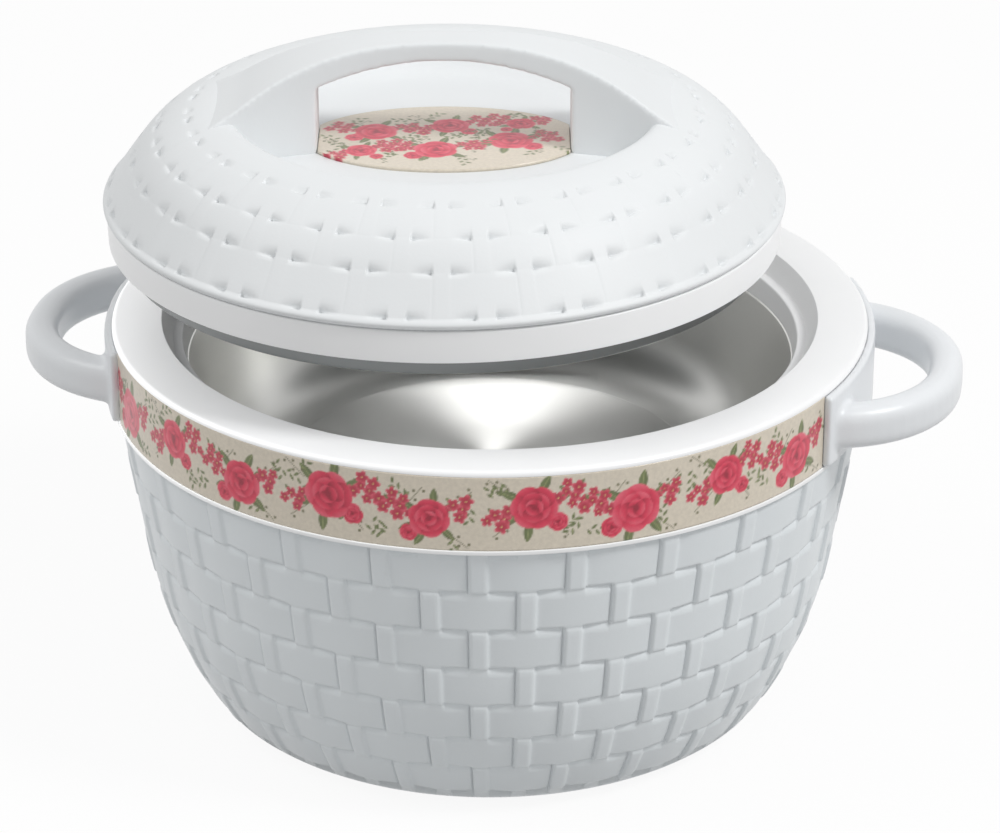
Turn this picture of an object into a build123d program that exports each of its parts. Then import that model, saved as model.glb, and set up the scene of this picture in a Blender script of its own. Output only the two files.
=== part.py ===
from build123d import *
import os
from math import asin, atan2, cos, degrees, hypot, radians, sin, sqrt, tan

# Insulated serving pot with a basket-weave body and a domed lift-off lid, in millimetres.
# The pot stands on z = 0 with its axis on Z and its two handles along X.
# The lid is drawn raised off its seat and a little to the left, as it is held when serving.

# Common walls and clearances
wall = 2.6                # moulded plastic wall
steel = 0.9               # pressed steel sheet
fit_gap = 0.3             # clearance round a fitted piece
skin_gap = 0.1            # clearance behind the printed film

# Collar and printed band
rim_radius = 140.0        # outer radius of the collar
rim_top = 152.0           # height of the collar's flat top
rim_round = 1.9           # rounding of the outer top edge
band_drop = 2.0           # from the flat top down to the printed band
band_height = 28.0
band_film = 0.5           # thickness of the printed film
bead_height = 1.7         # plain bead under the band
bead_proud = 0.4
edge_round = 0.8          # rounding of small moulded edges

# Stepped lid seat in the collar
seat_radius = 121.5       # inner edge of the flat top
seat_depth = 7.8          # from the flat top down to the ledge
seat_angle = 27.0         # slope of the seat wall from vertical, degrees
seat_round = 0.4          # rounding where the lid's ring meets the flat top
ledge_radius = 114.0      # inner edge of the ledge
throat_depth = 8.0        # from the ledge down to the steel flange
throat_draft = 1.6        # how far the throat leans in

# Steel bowl
mouth_radius = 112.0
bowl_depth = 64.0         # from the flat top down to the bowl's floor
bowl_taper = 13.0         # slope of the bowl's wall from vertical, degrees
bowl_corner = 24.0        # inner radius between wall and floor
panel_radius = 76.0       # raised panel in the floor
panel_rise = 1.5
flange_width = 5.0

# Outer body, measured over the woven relief
body_radius = 139.2       # at the collar's lower edge
body_taper = 9.2          # slope of the upper wall from vertical, degrees
belly_radius = 157.0
belly_angle = 29.8        # slope where the belly meets the heel, degrees
heel_radius = 22.6
lip_height = 9.0          # upper lip inside the collar's skirt
foot_width = 6.0          # flat ring that the pot stands on

# Basket weave on the body
weave_relief = 1.2
weave_bricks = 25         # bricks in one row
weave_rows = 7
weave_pitch = 16.6        # row spacing along the wall
weave_start = 9.0         # from the collar's lower edge to the first row's middle
brick_height = 13.6
brick_share = 0.78        # part of the angular pitch that a brick fills
brick_bevel = 1.0
brick_root = 0.6          # how deep a brick is rooted in its wall
weave_phase = -83.2       # middle of a brick in the first row, degrees from +X

# Filling hole in the base
filler_radius = 7.0
plug_head_radius = 10.0
plug_head = 1.0
plug_length = 5.0

# Loop handles
handle_reach = 175.5      # from the pot's axis to the outside of the loop
handle_width = 108.0
grip_width = 12.5
grip_height = 16.5
grip_round = 5.0
handle_middle = 135.0     # height of the loop's middle
loop_corner = 51.0        # outer corner radius of the loop
root_thickness = 3.3      # plate that lies on the collar
root_margin = 0.6         # how far the plate runs past the loop's arms, degrees

# Handle screws, driven from inside the collar
screw_radius = 2.0
screw_head_radius = 4.0
screw_head = 2.2
screw_length = 10.0
screw_offset = 44.5       # from the loop's middle to each screw
screw_clearance = 0.2

# Lid, in its own frame: z = 0 at the lower edge of the ring
lid_shift = 16.5          # how far it is drawn to the left of its seat
lid_raise = 32.7          # how far it is drawn above its seat
lid_yaw = 8.6             # turn of the lid about its axis, degrees
ring_radius = 123.2
ring_height = 12.0
ring_flare = 0.4
bead_radius = 124.4
dome_radius = 122.9       # where the dome meets the bead
dome_start = 16.3
crest_height = 49.0       # top of the dome round the recess
crest_radius = 77.0       # where the dome starts to fall
shoulder_radius = 44.0
shoulder_angle = 53.0     # slope where the shoulder ends, degrees

# Round recess in the dome and the arched bridge across it
recess_radius = 78.0
recess_floor = 33.8
recess_draft = 20.0       # slope of the recess wall from vertical, degrees
recess_corner = 10.0
recess_lip = 4.0
bridge_height = 74.0
bridge_arch = 116.0       # radius of the bridge's arched top
bridge_waist = 7.5        # half width of the bridge at its middle
bridge_sweep = 200.0      # plan radius of the bridge's hollow sides
bridge_edge = 2.5
window_half = 46.0
window_side = 24.5        # height of the window at its ends
window_middle = 33.1      # height of the window at its middle
disc_length = 100.0
disc_width = 64.0
disc_thickness = 1.2

# Basket weave on the lid, three rows up from the bead
lid_rows = (16.0, 12.6, 13.9)
lid_relief = 0.8
lid_row_gap = 1.6

# Steel liner and its spigot under the lid
plug_radius = 120.7       # outside of the steel at the ring's lower edge
plug_depth = 7.0
plug_corner = 2.5
liner_panel = 96.0
liner_rise = 3.0
flange_thickness = 2.4
spigot_wall = 2.4

# Heights and radii that follow from the sizes above
band_top = rim_top - band_drop
band_bottom = band_top - band_height
collar_bottom = band_bottom - bead_height
band_seat = rim_radius - band_film - skin_gap
skirt_inside = band_seat - wall
ledge_top = rim_top - seat_depth
seat_slope = tan(radians(seat_angle))
seat_foot = seat_radius - seat_depth * seat_slope
seat_wall = wall / cos(radians(seat_angle)) - wall * seat_slope
flange_top = ledge_top - throat_depth
bowl_floor = rim_top - bowl_depth
lip_radius = skirt_inside - fit_gap
lip_top = collar_bottom + lip_height
brick_pitch = 360.0 / weave_bricks
brick_angle = brick_pitch * brick_share

# Upper wall of the body: what is left of its height above the belly and the heel
taper = radians(body_taper)
belly_end = radians(belly_angle)
belly_drop = belly_radius * (sin(belly_end) - sin(taper))
heel_drop = heel_radius * (1.0 - sin(belly_end))
straight_length = (collar_bottom - belly_drop - heel_drop) / cos(taper)
belly_length = belly_radius * (belly_end - taper)
belly_centre_r = body_radius - straight_length * sin(taper) - belly_radius * cos(taper)
belly_centre_z = collar_bottom - straight_length * cos(taper) + belly_radius * sin(taper)
heel_centre_r = belly_centre_r + (belly_radius - heel_radius) * cos(belly_end)
heel_centre_z = heel_radius
foot_radius = heel_centre_r

# Flank of the lid's dome: a flat arc from the shoulder down to the bead
shoulder_end = radians(shoulder_angle)
shoulder_centre_z = crest_height - shoulder_radius
flank_top_r = crest_radius + shoulder_radius * sin(shoulder_end)
flank_top_z = shoulder_centre_z + shoulder_radius * cos(shoulder_end)
flank_drop = flank_top_z - dome_start
flank_run = dome_radius - flank_top_r
flank_end = 2.0 * atan2(flank_drop, flank_run) - shoulder_end
flank_radius = hypot(flank_drop, flank_run) / (2.0 * sin((flank_end - shoulder_end) / 2.0))
flank_centre_r = flank_top_r - flank_radius * sin(shoulder_end)
flank_centre_z = flank_top_z - flank_radius * cos(shoulder_end)
flank_length = flank_radius * (flank_end - shoulder_end)

# The lip of the recess lies on the shoulder
lip_slope = asin((recess_radius - crest_radius) / shoulder_radius)
recess_lip_z = shoulder_centre_z + shoulder_radius * cos(lip_slope)
recess_slope = tan(radians(recess_draft))

# Where the raised lid stands
lid_turn = radians(lid_yaw)
lid_base = rim_top + fit_gap + lid_raise
lid_plane = Plane(
    origin=(-lid_shift * cos(lid_turn), -lid_shift * sin(lid_turn), lid_base),
    x_dir=(cos(lid_turn), sin(lid_turn), 0),
    z_dir=(0, 0, 1),
)
lid_section = Plane(origin=lid_plane.origin, x_dir=lid_plane.x_dir, z_dir=-lid_plane.y_dir)
lid_axis = Axis(lid_plane.origin, lid_plane.z_dir)


def outline(corners):
    """Closed outline through (radius, height, rounding) corners."""
    points = [(r, z) for r, z, _ in corners]
    FilletPolyline(*points, radius=[rounding for _, _, rounding in corners], close=True)


def body_curve(inset):
    """Body wall from the collar down to the base, set in from the woven surface."""
    start = (body_radius - inset / cos(taper), collar_bottom)
    length = straight_length - inset * tan(taper)
    end = (start[0] - length * sin(taper), start[1] - length * cos(taper))
    side = Line(start, end)
    belly = JernArc(side @ 1, side % 1, belly_radius - inset, body_taper - belly_angle)
    return JernArc(belly @ 1, belly % 1, heel_radius - inset, belly_angle - 90.0)


def body_point(along, proud):
    """Point at a distance along the body wall and a height above the woven surface."""
    if along < straight_length:
        r = body_radius - along * sin(taper) + proud * cos(taper)
        return r, collar_bottom - along * cos(taper) - proud * sin(taper)
    if along < straight_length + belly_length:
        slope = taper + (along - straight_length) / belly_radius
        reach = belly_radius + proud
        return belly_centre_r + reach * cos(slope), belly_centre_z - reach * sin(slope)
    slope = belly_end + (along - straight_length - belly_length) / heel_radius
    reach = heel_radius + proud
    return heel_centre_r + reach * cos(slope), heel_centre_z - reach * sin(slope)


def dome_curve(inset):
    """Lid dome from its top down to the bead, set in from the outside."""
    crest = Line((0, crest_height - inset), (crest_radius, crest_height - inset))
    shoulder = JernArc(crest @ 1, crest % 1, shoulder_radius - inset, -shoulder_angle)
    return JernArc(
        shoulder @ 1, shoulder % 1, flank_radius - inset, shoulder_angle - degrees(flank_end)
    )


def dome_point(along, proud):
    """Point at a distance up the lid's dome from the bead and a height above it."""
    if along < flank_length:
        slope = flank_end - along / flank_radius
        reach = flank_radius + proud
        return flank_centre_r + reach * sin(slope), flank_centre_z + reach * cos(slope)
    slope = shoulder_end - (along - flank_length) / shoulder_radius
    reach = shoulder_radius + proud
    return crest_radius + reach * sin(slope), shoulder_centre_z + reach * cos(slope)


def recess_outline(grown):
    """Outline of the lid's round recess, grown by a thickness into the lid."""
    top_z = bridge_height + wall
    floor_z = recess_floor - grown
    side = grown / cos(radians(recess_draft))
    top_r = recess_radius + side + (top_z - recess_lip_z) * recess_slope
    floor_r = recess_radius + side - (recess_lip_z - floor_z) * recess_slope
    outline([
        (0, floor_z, 0),
        (floor_r, floor_z, recess_corner + grown),
        (top_r, top_z, 0),
        (0, top_z, 0),
    ])


def screw_plane(angle):
    """Plane at the skirt's inside, facing out, for the screw at an angle round the pot."""
    out = (cos(radians(angle)), sin(radians(angle)), 0)
    seat = skirt_inside - skin_gap
    return Plane(origin=(seat * out[0], seat * out[1], handle_middle), z_dir=out)


# Screws stand behind the roots of the two handles
screw_angle = degrees(asin(screw_offset / rim_radius))
screw_angles = {"right": (screw_angle, -screw_angle), "left": (180.0 - screw_angle, 180.0 + screw_angle)}
root_half_angle = degrees(asin(handle_width / 2.0 / rim_radius)) + root_margin

os.makedirs("parts", exist_ok=True)

# One woven brick for each row of the body
body_bricks = []
for row in range(weave_rows):
    middle = weave_start + row * weave_pitch
    low = middle + brick_height / 2.0
    high = middle - brick_height / 2.0
    with BuildPart() as brick:
        with BuildSketch(Plane.XZ):
            with BuildLine():
                Polyline(
                    body_point(low, -weave_relief - brick_root),
                    body_point(low, -weave_relief),
                    body_point(low - brick_bevel, 0),
                    body_point(high + brick_bevel, 0),
                    body_point(high, -weave_relief),
                    body_point(high, -weave_relief - brick_root),
                    close=True,
                )
            make_face()
        revolve(axis=Axis.Z, revolution_arc=brick_angle)
    body_bricks.append(brick.part.rotate(Axis.Z, -brick_angle / 2.0))

# The rows of bricks round the body, each row half a brick on from the one above
with BuildPart() as body_weave:
    for row, brick in enumerate(body_bricks):
        phase = weave_phase + (row % 2) * brick_pitch / 2.0
        with PolarLocations(0, weave_bricks, start_angle=phase):
            add(brick, clean=False)

# Outer body: woven shell with a foot ring, a filling hole and a lip for the collar
base_top = weave_relief + wall
with BuildPart() as outer_body:
    with BuildSketch(Plane.XZ):
        with BuildLine():
            outside = body_curve(weave_relief)
            Polyline(outside @ 1, (0, weave_relief), (0, collar_bottom))
            Line((0, collar_bottom), (body_radius - weave_relief / cos(taper), collar_bottom))
        make_face()
        with BuildLine():
            inside = body_curve(base_top)
            Polyline(inside @ 1, (0, base_top), (0, collar_bottom))
            Line((0, collar_bottom), (body_radius - base_top / cos(taper), collar_bottom))
        make_face(mode=Mode.SUBTRACT)
        with BuildLine():
            outline([
                (lip_radius - wall, collar_bottom - wall, 0),
                (lip_radius, collar_bottom - wall, 0),
                (lip_radius, lip_top, edge_round),
                (lip_radius - wall, lip_top, edge_round),
            ])
        make_face()
        with BuildLine():
            outline([
                (foot_radius - foot_width, 0, edge_round),
                (foot_radius, 0, edge_round),
                (foot_radius, base_top, 0),
                (foot_radius - foot_width, base_top, 0),
            ])
        make_face()
    revolve(axis=Axis.Z)
    with BuildSketch(Plane.XY):
        Circle(filler_radius)
    extrude(amount=base_top, mode=Mode.SUBTRACT)
    add(body_weave.part, clean=False)
outer_body.part.label = "outer_body"
export_step(outer_body.part, "parts/outer_body.step")

# Plug in the filling hole
with BuildPart() as foam_plug:
    with BuildSketch(Plane.XY.offset(weave_relief - plug_head)):
        Circle(plug_head_radius)
    extrude(amount=plug_head)
    with BuildSketch(Plane.XY.offset(weave_relief)):
        Circle(filler_radius - skin_gap)
    extrude(amount=plug_length)
    chamfer(foam_plug.edges().group_by(Axis.Z)[-1], length=edge_round)
foam_plug.part.label = "foam_plug"
export_step(foam_plug.part, "parts/foam_plug.step")

# Collar: skirt for the printed band, flat top, stepped seat and throat
with BuildPart() as collar:
    with BuildSketch(Plane.XZ):
        with BuildLine():
            outline([
                (rim_radius + bead_proud, collar_bottom, edge_round / 2),
                (rim_radius + bead_proud, band_bottom, edge_round / 2),
                (band_seat, band_bottom, 0),
                (band_seat, band_top, 0),
                (rim_radius, band_top, 0),
                (rim_radius, rim_top, rim_round),
                (seat_radius, rim_top, seat_round),
                (seat_foot, ledge_top, edge_round),
                (ledge_radius, ledge_top, edge_round),
                (ledge_radius - throat_draft, flange_top, 0),
                (ledge_radius + wall, flange_top, 0),
                (ledge_radius + wall, ledge_top - wall, 0),
                (seat_foot + seat_wall, ledge_top - wall, 0),
                (seat_radius + seat_wall, rim_top - wall, 0),
                (skirt_inside, rim_top - wall, 0),
                (skirt_inside, collar_bottom, 0),
            ])
        make_face()
    revolve(axis=Axis.Z)
    for side_angles in screw_angles.values():
        for angle in side_angles:
            with BuildSketch(screw_plane(angle)):
                Circle(screw_radius + screw_clearance)
            extrude(amount=2.0 * wall, both=True, mode=Mode.SUBTRACT)
collar.part.label = "collar"
export_step(collar.part, "parts/collar.step")

# Printed band: one film in front and one behind, between the handle roots
band_arc = 180.0 - 2.0 * root_half_angle
for side, start in (("front", 180.0 + root_half_angle), ("back", root_half_angle)):
    with BuildPart() as print_band:
        with BuildSketch(Plane.XZ):
            with BuildLine():
                outline([
                    (rim_radius - band_film, band_bottom + skin_gap, 0),
                    (rim_radius, band_bottom + skin_gap, 0),
                    (rim_radius, band_top - skin_gap, 0),
                    (rim_radius - band_film, band_top - skin_gap, 0),
                ])
            make_face()
        revolve(axis=Axis.Z, revolution_arc=band_arc)
    band = print_band.part.rotate(Axis.Z, start)
    band.label = "print_band_" + side
    export_step(band, "parts/print_band_" + side + ".step")

# Loop handles: a U-shaped grip on a plate that lies in the band's recess
inner_reach = handle_reach - grip_width
inner_half = handle_width / 2.0 - grip_width
loop_start = sqrt(band_seat ** 2 - (handle_width / 2.0) ** 2) - 2.0 * wall
for side, turn in (("right", 0.0), ("left", 180.0)):
    out = (cos(radians(turn)), sin(radians(turn)), 0)
    loop_plane = Plane(origin=(0, 0, handle_middle), x_dir=out, z_dir=(0, 0, 1))
    root_plane = Plane(origin=(0, 0, 0), x_dir=out, z_dir=(out[1], -out[0], 0))
    with BuildPart() as handle:
        with BuildSketch(loop_plane):
            with BuildLine():
                FilletPolyline(
                    (loop_start, -handle_width / 2.0),
                    (handle_reach, -handle_width / 2.0),
                    (handle_reach, handle_width / 2.0),
                    (loop_start, handle_width / 2.0),
                    radius=loop_corner,
                )
                Line((loop_start, handle_width / 2.0), (loop_start, inner_half))
                FilletPolyline(
                    (loop_start, inner_half),
                    (inner_reach, inner_half),
                    (inner_reach, -inner_half),
                    (loop_start, -inner_half),
                    radius=loop_corner - grip_width,
                )
                Line((loop_start, -inner_half), (loop_start, -handle_width / 2.0))
            make_face()
        extrude(amount=grip_height / 2.0, both=True)
        rims = handle.edges().filter_by(Plane.XY)
        long_rims = [edge for edge in rims if abs((edge @ 0.5).dot(Vector(*out)) - loop_start) > edge_round]
        fillet(long_rims, radius=grip_round)
        with BuildSketch(root_plane):
            with BuildLine():
                outline([
                    (band_seat - wall, band_bottom + skin_gap, 0),
                    (band_seat + root_thickness, band_bottom + skin_gap, edge_round),
                    (band_seat + root_thickness, band_top - skin_gap, edge_round),
                    (band_seat - wall, band_top - skin_gap, 0),
                ])
            make_face()
        root_arc = 2.0 * root_half_angle - 2.0 * skin_gap
        root = revolve(axis=Axis.Z, revolution_arc=root_arc, mode=Mode.PRIVATE)
        add(root.rotate(Axis.Z, -root_arc / 2.0))
        with BuildSketch(Plane.XY.offset(band_bottom - wall)):
            Circle(band_seat + skin_gap)
        extrude(amount=band_height + 2.0 * wall, mode=Mode.SUBTRACT)
        for angle in screw_angles[side]:
            with BuildSketch(screw_plane(angle)):
                Circle(screw_radius + screw_clearance)
            extrude(amount=screw_length + 2.0 * screw_clearance, mode=Mode.SUBTRACT)
    handle.part.label = "handle_" + side
    export_step(handle.part, "parts/handle_" + side + ".step")

# Screws that hold the handles, two for each
with BuildPart() as handle_screws:
    for side_angles in screw_angles.values():
        for angle in side_angles:
            with BuildSketch(screw_plane(angle)):
                Circle(screw_head_radius)
            extrude(amount=-screw_head)
            with BuildSketch(screw_plane(angle)):
                Circle(screw_radius)
            extrude(amount=screw_length)
handle_screws.part.label = "handle_screws"
export_step(handle_screws.part, "parts/handle_screws.step")

# Steel bowl: flange under the collar's throat, tapered wall and a floor with a raised panel
bowl_slope = tan(radians(bowl_taper))
bowl_side = steel / cos(radians(bowl_taper))
floor_corner = mouth_radius - (flange_top - bowl_floor) * bowl_slope
back_corner = floor_corner + bowl_side - steel * bowl_slope
back_mouth = mouth_radius + bowl_side - steel * bowl_slope
with BuildPart() as steel_bowl:
    with BuildSketch(Plane.XZ):
        with BuildLine():
            outline([
                (mouth_radius + flange_width, flange_top, 0),
                (mouth_radius, flange_top, edge_round),
                (floor_corner, bowl_floor, bowl_corner),
                (panel_radius + panel_rise, bowl_floor, panel_rise),
                (panel_radius, bowl_floor + panel_rise, panel_rise),
                (0, bowl_floor + panel_rise, 0),
                (0, bowl_floor + panel_rise - steel, 0),
                (panel_radius, bowl_floor + panel_rise - steel, panel_rise),
                (panel_radius + panel_rise, bowl_floor - steel, panel_rise),
                (back_corner, bowl_floor - steel, bowl_corner + steel),
                (back_mouth, flange_top - steel, edge_round),
                (mouth_radius + flange_width, flange_top - steel, 0),
            ])
        make_face()
    revolve(axis=Axis.Z)
steel_bowl.part.label = "steel_bowl"
export_step(steel_bowl.part, "parts/steel_bowl.step")

# Insulating foam between the bowl, the body and the collar
foam_inset = base_top + fit_gap
foam_floor = bowl_floor - steel - fit_gap
foam_top = flange_top - steel - fit_gap
foam_bowl = back_corner + fit_gap / cos(radians(bowl_taper)) - fit_gap * bowl_slope
foam_mouth = back_mouth + fit_gap / cos(radians(bowl_taper)) - fit_gap * bowl_slope
with BuildPart() as body_foam:
    with BuildSketch(Plane.XZ):
        with BuildLine():
            outside = body_curve(foam_inset)
            Polyline(outside @ 1, (0, foam_inset), (0, collar_bottom))
            Line((0, collar_bottom), (body_radius - foam_inset / cos(taper), collar_bottom))
        make_face()
        with BuildLine():
            outline([
                (0, collar_bottom - wall - fit_gap, 0),
                (lip_radius - wall - fit_gap, collar_bottom - wall - fit_gap, 0),
                (lip_radius - wall - fit_gap, lip_top + fit_gap, 0),
                (skirt_inside - fit_gap, lip_top + fit_gap, 0),
                (skirt_inside - fit_gap, rim_top - wall - fit_gap, 0),
                (seat_radius + seat_wall + fit_gap, rim_top - wall - fit_gap, 0),
                (seat_foot + seat_wall + fit_gap, ledge_top - wall - fit_gap, 0),
                (mouth_radius + flange_width + fit_gap, ledge_top - wall - fit_gap, 0),
                (mouth_radius + flange_width + fit_gap, foam_top, 0),
                (0, foam_top, 0),
            ])
        make_face()
        with BuildLine():
            outline([
                (lip_radius - wall - fit_gap, collar_bottom - wall - fit_gap, 0),
                (body_radius, collar_bottom - wall - fit_gap, 0),
                (body_radius, lip_top + fit_gap, 0),
                (lip_radius - wall - fit_gap, lip_top + fit_gap, 0),
            ])
        make_face(mode=Mode.SUBTRACT)
        with BuildLine():
            outline([
                (0, foam_floor, 0),
                (foam_bowl, foam_floor, bowl_corner + steel + fit_gap),
                (foam_mouth, foam_top, 0),
                (0, foam_top, 0),
            ])
        make_face(mode=Mode.SUBTRACT)
        with BuildLine():
            outline([
                (0, 0, 0),
                (filler_radius + fit_gap, 0, 0),
                (filler_radius + fit_gap, weave_relief + plug_length + fit_gap, 0),
                (0, weave_relief + plug_length + fit_gap, 0),
            ])
        make_face(mode=Mode.SUBTRACT)
    revolve(axis=Axis.Z)
    for side_angles in screw_angles.values():
        for angle in side_angles:
            with BuildSketch(screw_plane(angle)):
                Circle(screw_head_radius + fit_gap)
            extrude(amount=screw_head + fit_gap, both=True, mode=Mode.SUBTRACT)
body_foam.part.label = "body_foam"
export_step(body_foam.part, "parts/body_foam.step")

# One woven brick for each row of the lid
lid_bricks = []
row_start = 0.0
for row_height in lid_rows:
    low = row_start + lid_row_gap / 2.0
    high = row_start + row_height - lid_row_gap / 2.0
    with BuildPart() as brick:
        with BuildSketch(Plane.XZ):
            with BuildLine():
                Polyline(
                    dome_point(low, -brick_root),
                    dome_point(low, 0),
                    dome_point(low + brick_bevel, lid_relief),
                    dome_point((low + high) / 2.0, lid_relief),
                    dome_point(high - brick_bevel, lid_relief),
                    dome_point(high, 0),
                    dome_point(high, -brick_root),
                    close=True,
                )
            make_face()
        revolve(axis=Axis.Z, revolution_arc=brick_angle)
    lid_bricks.append(brick.part.rotate(Axis.Z, -brick_angle / 2.0))
    row_start += row_height

# The rows of bricks round the lid, with an upright between bricks at the front of the first row
with BuildPart() as lid_weave:
    for row, brick in enumerate(lid_bricks):
        phase = -90.0 + ((row + 1) % 2) * brick_pitch / 2.0
        with PolarLocations(0, weave_bricks, start_angle=phase):
            add(brick, clean=False)

# Bridge across the recess: an arched bar with hollow sides and a finger window
bridge_half = recess_radius + 2.0 * wall
arch_end = bridge_height - bridge_arch + sqrt(bridge_arch ** 2 - bridge_half ** 2)
with BuildPart() as bridge:
    with BuildSketch(Plane.XY):
        Rectangle(2.0 * bridge_half, 2.0 * bridge_half)
        with Locations((0, bridge_waist + bridge_sweep), (0, -bridge_waist - bridge_sweep)):
            Circle(bridge_sweep, mode=Mode.SUBTRACT)
    extrude(amount=bridge_height + wall)
    with BuildSketch(Plane.XZ):
        with BuildLine():
            ThreePointArc((-bridge_half, arch_end), (0, bridge_height), (bridge_half, arch_end))
            Polyline((bridge_half, arch_end), (bridge_half, 0), (-bridge_half, 0), (-bridge_half, arch_end))
        make_face()
    extrude(amount=bridge_half, both=True, mode=Mode.INTERSECT)
    long_edges = bridge.edges().sort_by(Axis.Z, reverse=True)[0:2]
    fillet(long_edges, radius=bridge_edge)
    with BuildSketch(Plane.XZ):
        with BuildLine():
            recess_outline(wall / 2.0)
        make_face()
    revolve(axis=Axis.Z, mode=Mode.INTERSECT)
    with BuildSketch(Plane.XZ):
        with BuildLine():
            Polyline(
                (-window_half, recess_floor + window_side),
                (-window_half, recess_floor - wall),
                (window_half, recess_floor - wall),
                (window_half, recess_floor + window_side),
            )
            ThreePointArc(
                (window_half, recess_floor + window_side),
                (0, recess_floor + window_middle),
                (-window_half, recess_floor + window_side),
            )
        make_face()
    extrude(amount=recess_radius, both=True, mode=Mode.SUBTRACT)

# Lid cover: woven dome with the recess, the bridge, a bead and a spigot for the ring
spigot_radius = ring_radius + ring_flare - wall - fit_gap
with BuildSketch() as lid_hollow:
    with BuildLine():
        flank = dome_curve(wall)
        Polyline(flank @ 1, (spigot_radius - wall, ring_height), (0, ring_height), (0, crest_height - wall))
    make_face()
    with BuildLine():
        recess_outline(wall)
    make_face(mode=Mode.SUBTRACT)

with BuildPart(lid_plane) as lid_cover:
    with BuildSketch(lid_section):
        with BuildLine():
            flank = dome_curve(0)
            ThreePointArc(
                flank @ 1,
                (bead_radius, (dome_start + ring_height) / 2.0),
                (ring_radius + ring_flare, ring_height),
            )
            Polyline((ring_radius + ring_flare, ring_height), (0, ring_height), (0, crest_height))
        make_face()
        with BuildLine():
            recess_outline(0)
        make_face(mode=Mode.SUBTRACT)
        add(lid_hollow.sketch_local, mode=Mode.SUBTRACT)
        with BuildLine():
            outline([
                (spigot_radius - wall, ring_height / 2.0, edge_round),
                (spigot_radius, ring_height / 2.0, edge_round),
                (spigot_radius, ring_height, 0),
                (spigot_radius - wall, ring_height, 0),
            ])
        make_face()
    revolve(axis=lid_axis)
    lip_edges = lid_cover.edges().filter_by(GeomType.CIRCLE)
    lip_edge = lip_edges.sort_by(lambda edge: abs(edge.radius - recess_radius))[0]
    fillet(lip_edge, radius=recess_lip)
    add(bridge.part, clean=False)
    add(lid_weave.part, clean=False)
lid_cover.part.label = "lid_cover"
export_step(lid_cover.part, "parts/lid_cover.step")

# Printed oval disc on the recess floor, cut straight beside the bridge's feet
with BuildPart(lid_plane) as lid_disc:
    with BuildSketch(lid_plane.offset(recess_floor)):
        Ellipse(disc_length / 2.0, disc_width / 2.0)
        Rectangle(2.0 * (window_half - fit_gap), disc_width, mode=Mode.INTERSECT)
    extrude(amount=disc_thickness)
    chamfer(lid_disc.edges().group_by(Axis.Z)[-1], length=disc_thickness / 4.0)
lid_disc.part.label = "lid_disc"
export_step(lid_disc.part, "parts/lid_disc.step")

# Lid ring: plain band under the bead, with a cone that carries the steel liner
liner_side = steel / cos(radians(seat_angle))
cone_radius = plug_radius - liner_side - skin_gap
cone_depth = plug_depth - steel - fit_gap
with BuildPart(lid_plane) as lid_ring:
    with BuildSketch(lid_section):
        with BuildLine():
            outline([
                (ring_radius, 0, seat_round),
                (ring_radius + ring_flare, ring_height, edge_round),
                (ring_radius + ring_flare - wall, ring_height, 0),
                (ring_radius + ring_flare - wall, flange_thickness, 0),
                (cone_radius - spigot_wall, flange_thickness, 0),
                (cone_radius - spigot_wall - cone_depth * seat_slope, -cone_depth, 0),
                (cone_radius - cone_depth * seat_slope, -cone_depth, plug_corner - steel),
                (cone_radius, 0, 0),
            ])
        make_face()
    revolve(axis=lid_axis)
lid_ring.part.label = "lid_ring"
export_step(lid_ring.part, "parts/lid_ring.step")

# Steel liner: shallow pan pressed over the ring's cone
pan_corner = plug_radius - plug_depth * seat_slope
pan_inside = pan_corner - liner_side + steel * seat_slope
with BuildPart(lid_plane) as lid_liner:
    with BuildSketch(lid_section):
        with BuildLine():
            outline([
                (plug_radius, -skin_gap, 0),
                (pan_corner, -plug_depth, plug_corner),
                (liner_panel + liner_rise, -plug_depth, liner_rise),
                (liner_panel, liner_rise - plug_depth, liner_rise),
                (0, liner_rise - plug_depth, 0),
                (0, liner_rise - plug_depth + steel, 0),
                (liner_panel, liner_rise - plug_depth + steel, liner_rise),
                (liner_panel + liner_rise, -plug_depth + steel, liner_rise),
                (pan_inside, -plug_depth + steel, plug_corner - steel),
                (plug_radius - liner_side, -skin_gap, 0),
            ])
        make_face()
    revolve(axis=lid_axis)
lid_liner.part.label = "lid_liner"
export_step(lid_liner.part, "parts/lid_liner.step")

# Insulating foam inside the lid
foam_base = liner_rise - plug_depth + steel + fit_gap
foam_neck = cone_radius - spigot_wall - cone_depth * seat_slope - fit_gap
foam_waist = spigot_radius - wall - fit_gap
with BuildPart(lid_plane) as lid_foam:
    with BuildSketch(lid_section):
        with BuildLine():
            flank = dome_curve(wall + fit_gap)
            Polyline(
                flank @ 1,
                (foam_waist, ring_height + fit_gap),
                (foam_waist, flange_thickness + fit_gap),
                (foam_neck, flange_thickness + fit_gap),
                (foam_neck, foam_base),
                (0, foam_base),
                (0, crest_height - wall - fit_gap),
            )
        make_face()
        with BuildLine():
            recess_outline(wall + fit_gap)
        make_face(mode=Mode.SUBTRACT)
    revolve(axis=lid_axis)
lid_foam.part.label = "lid_foam"
export_step(lid_foam.part, "parts/lid_foam.step")
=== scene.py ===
"""Serving pot in a basket weave with a flower print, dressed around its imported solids."""
from math import atan2, cos, hypot, pi, radians, sin, sqrt, tan
from typing import NamedTuple

import bpy
import numpy as np
from bpy.props import FloatProperty, FloatVectorProperty, IntProperty, PointerProperty
from mathutils import Matrix, Vector


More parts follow.
